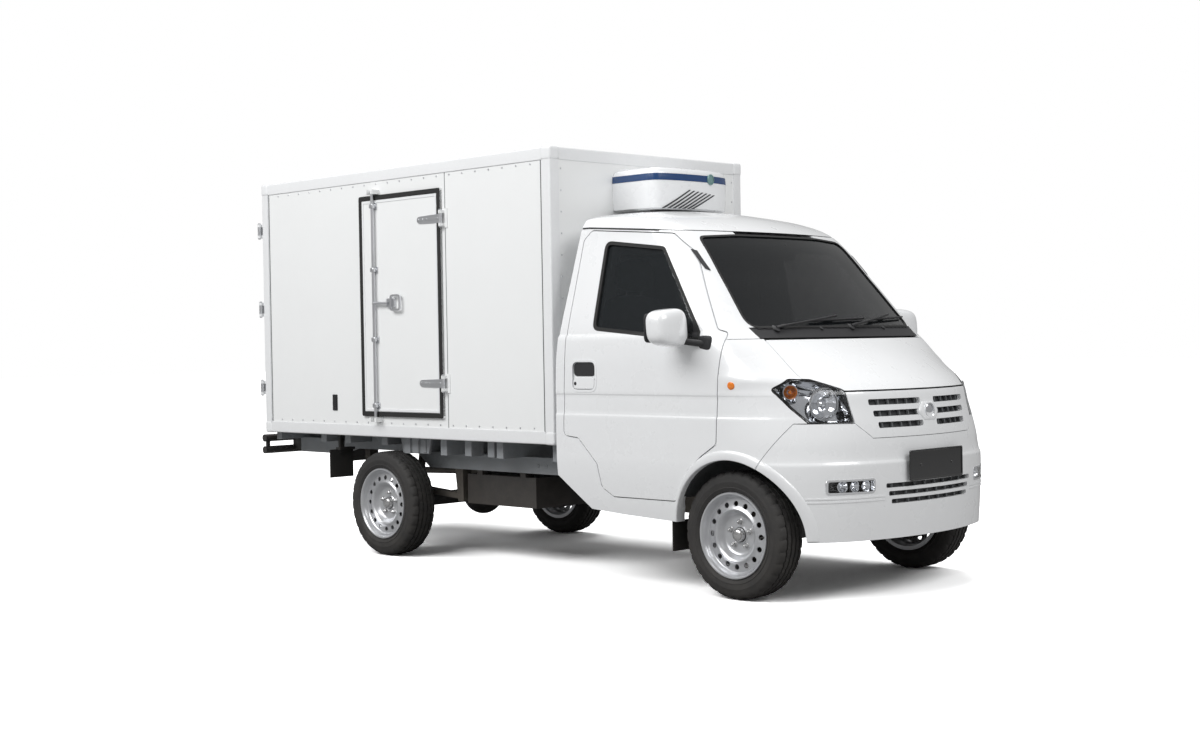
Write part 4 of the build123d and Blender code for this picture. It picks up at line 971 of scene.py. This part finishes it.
wipers = [dome(y, 1194, 9, 0, 8, on_nose, 12) for y in (-210, 280)]
wipers += [plate(box_outline(y - 14, y + 14, 1192, 1195), on_nose, -4, 0.8, 0.6) for y in range(-560, 566, 45)]
for pivot, elbow, tip, near, far in (((-480, 1194), (-430, 1200), (-60, 1243), (-250, 1222), (150, 1232)),
                                     ((5, 1199), (50, 1204), (420, 1250), (205, 1227), (590, 1240))):
    wipers += [tube(along_glass(pivot, elbow, 7, 12), 7, 8), tube(along_glass(elbow, tip, 12, 11), 5, 8),
               tube(along_glass(near, far, 9, 9, 14), 4, 8), tube(along_glass(near, far, 3, 3, 14), 2.2, 6),
               dome(*pivot, 15, 0, 14, on_nose, 16)]
made(joined(*wipers), "wipers_and_nozzles", black_plastic)
made(joined(pillow((-312, -110, 1522), (-282, 110, 1588), 4), tube([(-290, 0, 1570), (-262, 0, 1600)], 7)),
     "inside_mirror", black_plastic)

# Door handles, mirrors and side lamps
pair(joined(plate(rounded(-944, -800, 925, 982, 24), on_cab_side, -7, 1.5, 3)), "handle_flap", white_paint, "cab_door")
pair(joined(plate(rounded(-944, -800, 986, 1050, 24), on_cab_side, -7.5, -5.5, 0.8),
            dome(-928, 951, 9, 1, 3, on_cab_side, 16)), "handle_recess", black_plastic, "cab_door")


def mirror_shape(u, v, w):
    """Housing that narrows outwards and leans back at the top."""
    return (u * (1 - 0.12 * abs(v)) - 0.10 * w, v, w * (1 + 0.10 * v))


pair(joined(pillow((-294, -985, 1122), (-166, -788, 1288), 3.6, 18, mirror_shape)), "mirror_housing", white_paint,
     "cab_door", replaces=["mirror"], sharp=60)
pair(joined(plate(rounded(-968, -806, 1140, 1270, 26), on_mirror, 0, 12, 3)), "mirror_bezel", black_plastic,
     "cab_door")
pair(joined(plate(rounded(-960, -814, 1148, 1262, 22), on_mirror, 10, 14, 1)), "mirror_glass_plate", mirror_glass,
     "cab_door")
pair(joined(tube([(-110, -752, 1130), (-130, -775, 1133), (-175, -800, 1140), (-215, -850, 1150)], 15, 14),
            pillow((-150, -775, 1100), (-78, -748, 1168), 4)), "mirror_arm", black_plastic, "cab_door")
pair(joined(stacked([(circle(36, 946, 17 * share, 20), d) for share, d in ((1, -2), (1, 2), (0.8, 5), (0.4, 6.5))],
                    on_cab_side)), "side_lamp", amber_lens)


# Load box: edge profiles, corner caps, rivets, seams and vent
def edge_profile(start, end, first, second, leg=58, thick=3):
    """Angle profile along an edge; first and second point outwards from its two faces."""
    def at(u, v, d):
        return tuple(Vector(start).lerp(Vector(end), d) + Vector(first) * u + Vector(second) * v)
    outer = eased(((-leg, thick), (thick, thick), (thick, -leg)), 9)[6:12]
    section = [(-leg, 0), (-leg, thick), *outer, (thick, -leg), (0, -leg), (0, 0)]
    return stacked(((section, 0), (section, 1)), at)


box_ends = ((box_ahead, 1), (box_back, -1))
box_levels = ((box_high, 1), (box_low, -1))
profiles, caps = [], []
for s in (-1, 1):
    y = s * box_half
    for z, up in box_levels:
        profiles.append(edge_profile((box_back, y, z), (box_ahead, y, z), (0, s, 0), (0, 0, up)))
    for x, ahead in box_ends:
        profiles.append(edge_profile((x, y, box_low), (x, y, box_high), (0, s, 0), (ahead, 0, 0)))
        for z, up in box_levels:
            out, inner = (x + ahead * 6, y + s * 6, z + up * 6), (x - ahead * 62, y - s * 62, z - up * 62)
            caps.append(pillow(tuple(map(min, out, inner)), tuple(map(max, out, inner)), 7, 10))
for x, ahead in box_ends:
    for z, up in box_levels:
        profiles.append(edge_profile((x, -box_half, z), (x, box_half, z), (ahead, 0, 0), (0, 0, up)))
made(joined(*profiles), "box_edge_profiles", rail_paint, sharp=25)
made(joined(*caps), "box_corner_caps", rail_paint, sharp=50)

rivets = [dome(box_back + 60 + k * 104, z, 5, 1, 2.6, at, 8)
          for at in (on_right, on_left) for k in range(24) for z in (box_high - 74, box_low + 74)]
rivets += [dome(s * (box_half - 74), box_low + 80 + k * 106, 5, 0, 2.6, on_front, 8)
           for k in range(13) for s in (-1, 1)]
made(joined(*rivets), "box_rivets", zinc)
seams = [plate(box_outline(x - 3, x + 3, box_low + 56, box_high - 56), at, -1, 1.6, 0.5)
         for at in (on_right, on_left) for x in (box_ahead - 66, box_back + 66)]
seams.append(plate(box_outline(-1956, -1952, box_low + 60, box_high - 60), on_right, -1, 1.2, 0.5))
made(joined(*seams), "box_panel_seams", grey_plastic)
vent = [plate(rounded(-2972, -2928, 785, 875, 6), on_right, 0, 4, 1)]
vent += [plate(box_outline(-2966, -2934, 796 + 12 * k, 803 + 12 * k), on_right, 3, 8, 1) for k in range(7)]
made(joined(*vent), "box_side_vent", black_plastic)


# Doors of the box: gaskets, edge trim, strap hinges and lock gear
def hinge(at, axis, end, z, out, half=24, spread=44, pin_out=22):
    """Bolted strap with a rounded end, and a barrel of five knuckles about an upright pin."""
    way = 1 if end > axis else -1
    strap = [(axis + way * 10, z + half), (axis + way * 10, z - half)]
    strap += [(end - way * half + way * half * cos(a), z + half * 0.8 * sin(a))
              for a in (pi * (k / 8 - 0.5) for k in range(9))]
    parts = [plate(strap, at, out - 3, out + 5, 1.2)]
    parts += [dome(end - way * (18 + 34 * k), z, 8, out + 4, 5, at, 12) for k in range(3)]
    parts.append(plate(rounded(axis + way * 24, end - way * 6, z - 7, z + 7, 6), at, out + 4, out + 7, 1))
    for k in range(5):
        low = z - spread + k * spread * 0.4 + 1
        parts.append(tube([at(axis, low, pin_out), at(axis, low + spread * 0.4 - 2, pin_out)], 10, 18))
    parts.append(tube([at(axis, z - spread - 4, pin_out), at(axis, z + spread + 4, pin_out)], 6.5, 12))
    return parts


def lock_gear(at, across, low, high, guides, handle_end, handle_z, out):
    """Upright lock rod with guides, and a handle that lies along the door."""
    way = 1 if handle_end > across else -1
    parts = [tube([at(across, low, out + 16), at(across, high, out + 16)], 9, 16)]
    for z in guides:
        parts.append(plate(rounded(across - 24, across + 24, z - 18, z + 18, 6), at, out, out + 5, 1))
        ends = at(across - 15, z - 13, out + 3), at(across + 15, z + 13, out + 29)
        parts.append(pillow(tuple(map(min, *ends)), tuple(map(max, *ends)), 5, 8))
        parts += [dome(across + s * 19, z, 4, out + 4, 4, at, 8) for s in (-1, 1)]
    grip = ((0, 0), (60, 0), (130, -2))
    parts.append(tube([at(across + way * u, handle_z + v, out + 20) for u, v in grip], 8, 12))
    loop = rounded(handle_end - way * 88, handle_end, handle_z - 44, handle_z + 44, 20)
    parts.append(looped(((loop, out + 14), (loop, out + 24), (inset(loop, 11), out + 24), (inset(loop, 11), out + 14)),
                        at))
    base = rounded(handle_end - way * 130, handle_end - way * 60, handle_z - 24, handle_z + 24, 6)
    return parts + [plate(base, at, out, out + 14, 2)]


door_low, door_high = measured("side_door")
door_face = -door_low[1] - wall_out
side_rim = box_outline(door_low[0], door_high[0], door_low[2], door_high[2])
made(joined(ring_plate(side_rim, 12, 26, on_right, door_face - 12, door_face + 4, 2)), "side_door_gasket", rubber,
     "side_door")
made(joined(ring_plate(inset(side_rim, 28), 6, 14, on_right, door_face - 1, door_face + 3, 1)), "side_door_trim",
     rail_paint, "side_door")
gear = lock_gear(on_right, -2540, 742, 1988, (820, 1180, 1560, 1907), -2303, 1377, door_face)
for z in (943, 1807):
    gear += hinge(on_right, -1968, -2170, z, door_face)
made(joined(*gear), "side_door_gear", zinc, "side_door", replaces=["side_door_lock"])
for side_name, s in sides:
    gear = lock_gear(on_rear, s * 190, 692, 2062, (800, 1150, 1600, 1960), s * 412, 1300, 0)
    for z in (909, 1372, 1836):
        gear += hinge(on_rear, s * 725, s * 480, z, 16)
        gear.append(plate(box_outline(s * 640, s * 500, z - 18, z + 18), on_rear, 0, 14, 1))
    body = f"rear_door_{side_name}"
    made(joined(*gear), f"rear_door_gear_{side_name}", zinc, body, replaces=[f"rear_door_lock_{side_name}"])
    made(joined(ring_plate(box_outline(s * 5, s * 645, 718, 2036), 8, 16, on_rear, -2, 5, 1.5)),
         f"rear_door_gasket_{side_name}", rubber, body)

# Tail lamps
made(joined(*[plate(rounded(s * 700, s * 530, 656, 704, 6), on_rear, 3, 22, 2) for s in (-1, 1)]),
     "tail_lamp_housings", black_plastic, replaces=["tail_lamps"])
for outer, name, material in ((694, "red", red_lens), (640, "amber", amber_lens), (586, "white", white_lens)):
    made(joined(*[plate(rounded(s * outer, s * (outer - 48), 662, 698, 5), on_rear, 18, 29, 3) for s in (-1, 1)]),
         f"tail_lamp_{name}", material, slot="lamp_red")

# Refrigeration unit with a bowed face, a stripe, a round badge and slanting louvres
unit_low, unit_high = measured("refrigeration_unit")
unit_half = 278


def unit_bow(y):
    """How far ahead the unit's bowed face stands, with its rounded corners."""
    corner = min(max(abs(y) - 238, 0), 40)
    return -824 - 44 * (abs(y) / unit_half) ** 2.6 - (40 - sqrt(1600 - corner ** 2)) * 0.9


def on_unit_face(u, v, d):
    """Places on the unit's bowed front."""
    return (unit_bow(u) + 4 + d, u, v)


unit_plan = [(unit_low[0], unit_low[1]), (-905, unit_low[1])]
unit_plan += [(unit_bow(y), y) for y in [-277.5 + 9.25 * k for k in range(61)]]
unit_plan += [(-905, unit_high[1]), (unit_low[0], unit_high[1])]


def unit_levels(steps):
    """Outlines of the unit, each shrunk and at a height above its foot."""
    return [(inset(unit_plan, shrink), unit_low[2] + rise) for shrink, rise in steps]


made(joined(stacked(unit_levels(((16, 0), (2, 8), (0, 30), (-3, 110), (-3, 150), (0, 178), (6, 196), (18, 206),
                                 (34, 211))), level_face)), "unit_cover", white_paint, replaces=["refrigeration_unit"],
     sharp=50)
made(joined(looped(unit_levels(((-4.4, 144), (-4.6, 150), (-3.2, 164), (-1.6, 178), (3, 178), (0, 144))), level_face)),
     "unit_stripe", blue_stripe, sharp=50)
badge_y, badge_z = 96, unit_low[2] + 160
made(joined(dome(badge_y, badge_z, 25, 0, 6, on_unit_face, 32),
            looped([(circle(badge_y, badge_z, r, 32), d) for r, d in ((27, 0), (27, 5), (22, 7), (22, 0))],
                   on_unit_face)), "unit_badge", badge_green)
louvres = []
for k in range(7):
    rise = 19 - k * 0.6
    for share in range(5):
        u0, z0 = -236 + k * 31 + share * 34, 1806 + share * rise
        slat = [(u0, z0), (u0 + 13, z0), (u0 + 47, z0 + rise), (u0 + 34, z0 + rise)]
        louvres.append(stacked(((slat, -5), (slat, 0.8)), on_unit_face))
made(joined(*louvres), "unit_louvres", louvre_dark)


# Seats: crowned cushions and backs with sewn channels
def sewn(v, lines, deep_share, width):
    """Depth of sewn channels that run along the seat."""
    return sum(deep_share * max(0, 1 - abs(v - line) / width) for line in lines)


def cushion_shape(u, v, w):
    """Crown on top, with channels along the seat."""
    channel = sewn(v, (-0.62, -0.2, 0.2, 0.62), 0.10, 0.06) if w > 0 else 0
    return (u, v, w * (1 + 0.22 * (1 - u * u) * (1 - v * v)) - channel)


def back_shape(u, v, w):
    """Back rest that bulges forwards between its side bolsters and leans back."""
    channel = sewn(v, (-0.6, 0.6), 0.14, 0.05) if u > 0 else 0
    return (u * (1 + 0.3 * (1 - v * v) * (1 - w * w)) - channel - 0.42 * (w + 1), v * (1 - 0.06 * w), w)


for side_name, s in sides:
    middle = s * 365
    seat = (("seat_cushion", (-862, middle - 233, 771), (-432, middle + 233, 868), 5, 26, cushion_shape, ["seats"]),
            ("seat_back", (-938, middle - 225, 800), (-846, middle + 225, 1372), 4.5, 26, back_shape, ()),
            ("head_rest", (-968, middle - 118, 1392), (-888, middle + 118, 1548), 3.2, 20, None, ()))
    for name, low, high, power, cells, shape, replaced in seat:
        soft = made(joined(pillow(low, high, power, cells, shape)), f"{name}_{side_name}", seat_cloth,
                    replaces=replaced, sharp=70)
    made(joined(*[tube([(-925, middle + k, 1350), (-928, middle + k, 1400)], 6) for k in (-50, 50)]),
         f"head_rest_posts_{side_name}", chrome, slot="zinc")

# Steering wheel
wheel_middle = Vector((-330, 360, 1060))
wheel_radius = 185
column = Vector((1, 0, -1)).normalized()
wheel_across, wheel_up = Vector((0, 1, 0)), Vector((1, 0, 1)).normalized()


def on_steering(u, v, d):
    """Places on the steering wheel, with the depth towards the driver."""
    return tuple(wheel_middle + wheel_across * u + wheel_up * v - column * d)


grip_ring = [(wheel_radius + 13 * cos(2 * pi * k / 14), 12 * sin(2 * pi * k / 14)) for k in range(14)]
steering = [turned(grip_ring, on_steering, 72), plate(rounded(-62, 62, -48, 52, 26), on_steering, -12, 16, 6),
            tube([tuple(wheel_middle), tuple(wheel_middle + column * 70)], 16, 18)]
for angle in (-pi / 2, pi / 6 - 0.25, pi - pi / 6 + 0.25):
    steering.append(tube([on_steering(r * cos(angle), r * sin(angle), d)
                          for r, d in ((40, 0), (110, -2), (wheel_radius - 3, 0))], 11))
made(joined(*steering), "steering_wheel_rim", black_plastic, "steering_wheel", replaces=["steering_wheel"], sharp=50)

# Outriggers and brackets on the chassis, and the exhaust
brackets = []
for s in (-1, 1):
    def on_rail(u, v, d):
        return (u, s * (500 + d), v)
    brackets += [plate(box_outline(x - 26, x + 26, 560, 646), on_rail, 60, 148, 3) for x in (-1700, -1880, -2320)]
    brackets.append(plate(((-2440, 560), (-2220, 560), (-2200, 640), (-2460, 640)), on_rail, 120, 136, 2))
    brackets += [plate(box_outline(-2425 + k * 56, -2405 + k * 56, 566, 636), on_rail, 134, 142, 3) for k in range(4)]
    brackets += [dome(x, 517, 10, out, 6, on_rail, 10)
                 for x, out in ((-1500, -1), (-1440, -1), (-1000, -1), (-560, -106))]
made(joined(*brackets), "chassis_brackets", chassis_grey)
made(joined(tube([(-1100, 250, 330), (-1500, 260, 320), (-2100, 270, 330), (-2300, 280, 400), (-2700, 285, 440),
                  (-2900, 290, 380), (-3500, 300, 360), (-3600, 305, 350)], 20, 16),
            pillow((-1900, 150, 240), (-1450, 370, 370), 5, 12)), "exhaust_pipe", cast_iron, sharp=50)

# Finishes of the frame's own pieces that stay
kept_finishes = {
    box_paint: ("box_front_wall", "box_left_wall", "box_right_wall", "box_roof", "side_door", "rear_door_right",
                "rear_door_left"),
    rail_paint: ("box_edge_frame",),
    bare_aluminium: ("box_floor", "radiator"),
    pale_trim: ("evaporator",),
    chassis_grey: ("frame",),
    chassis_black: ("rear_axle", "fuel_tank", "rear_bumper", "front_suspension"),
    cast_iron: ("knuckle_right", "knuckle_left", "rear_springs", "engine"),
    grey_plastic: ("dashboard", "cab_floor"),
    rubber: ("mud_flaps",),
}
for material, names in kept_finishes.items():
    for name in names:
        for place in nodes[name].material_slots:
            place.link = "OBJECT"
            place.material = material

# Floor and light; the floor and the world look brighter than the light they give
grey_for_light, grey_in_view = 0.3, 1.9
sky_for_light, sky_in_view = 0.34, 1.0
floor_finish = finish("pale_floor", (0.8, 0.8, 0.8), 0.9, grain=40, relief=0.0, patches=0.002)
floor_tree = floor_finish.node_tree
seen = new_node(floor_tree, "LightPath")
shown = new_node(floor_tree, "Mix")
shown.data_type = "RGBA"
for socket, grey in ((6, grey_for_light), (7, grey_in_view)):
    shown.inputs[socket].default_value = (grey, grey, grey, 1)
floor_tree.links.new(seen.outputs["Is Camera Ray"], shown.inputs[0])
floor_tree.links.new(shown.outputs[2], floor_tree.nodes["Principled BSDF"].inputs["Base Color"])
floor_tree.nodes["Principled BSDF"].inputs["Specular IOR Level"].default_value = 0
floor_mesh = bpy.data.meshes.new("floor")
floor_mesh.from_pydata([(-60, -60, 0), (60, -60, 0), (60, 60, 0), (-60, 60, 0)], [], [(0, 1, 2, 3)])
floor_mesh.materials.append(floor_finish)
floor = bpy.data.objects.new("floor", floor_mesh)
bpy.context.scene.collection.objects.link(floor)

world = bpy.data.worlds.new("studio")
world.use_nodes = True
bpy.context.scene.world = world
sky = world.node_tree.nodes["Background"]
sky.inputs["Color"].default_value = (1, 1, 1, 1)
view_ray = new_node(world.node_tree, "LightPath")
strength = new_node(world.node_tree, "MapRange", To_Min=sky_for_light, To_Max=sky_in_view)
world.node_tree.links.new(view_ray.outputs["Is Camera Ray"], strength.inputs["Value"])
world.node_tree.links.new(strength.outputs["Result"], sky.inputs["Strength"])


def softbox(name, place, target, size, power):
    """Large soft lamp."""
    lamp = bpy.data.lights.new(name, "AREA")
    lamp.shape = "RECTANGLE"
    lamp.size, lamp.size_y = size
    lamp.energy = power
    holder = bpy.data.objects.new(name, lamp)
    holder.location = place
    holder.rotation_euler = (Vector(target) - Vector(place)).to_track_quat("-Z", "Y").to_euler()
    bpy.context.scene.collection.objects.link(holder)


softbox("side_light", (-1, -7, 6.5), (-0.5, 0, 1.4), (9, 4), 640)
softbox("front_light", (8, 0, 6.5), (1.5, 0, 1), (5, 4), 330)
sun = bpy.data.lights.new("high_light", "SUN")
sun.energy = 1.3
sun.angle = radians(35)
sun_holder = bpy.data.objects.new("high_light", sun)
sun_holder.rotation_euler = Vector((0.28, -0.22, -1)).to_track_quat("-Z", "Y").to_euler()
bpy.context.scene.collection.objects.link(sun_holder)
bpy.context.scene.view_settings.view_transform = "Standard"
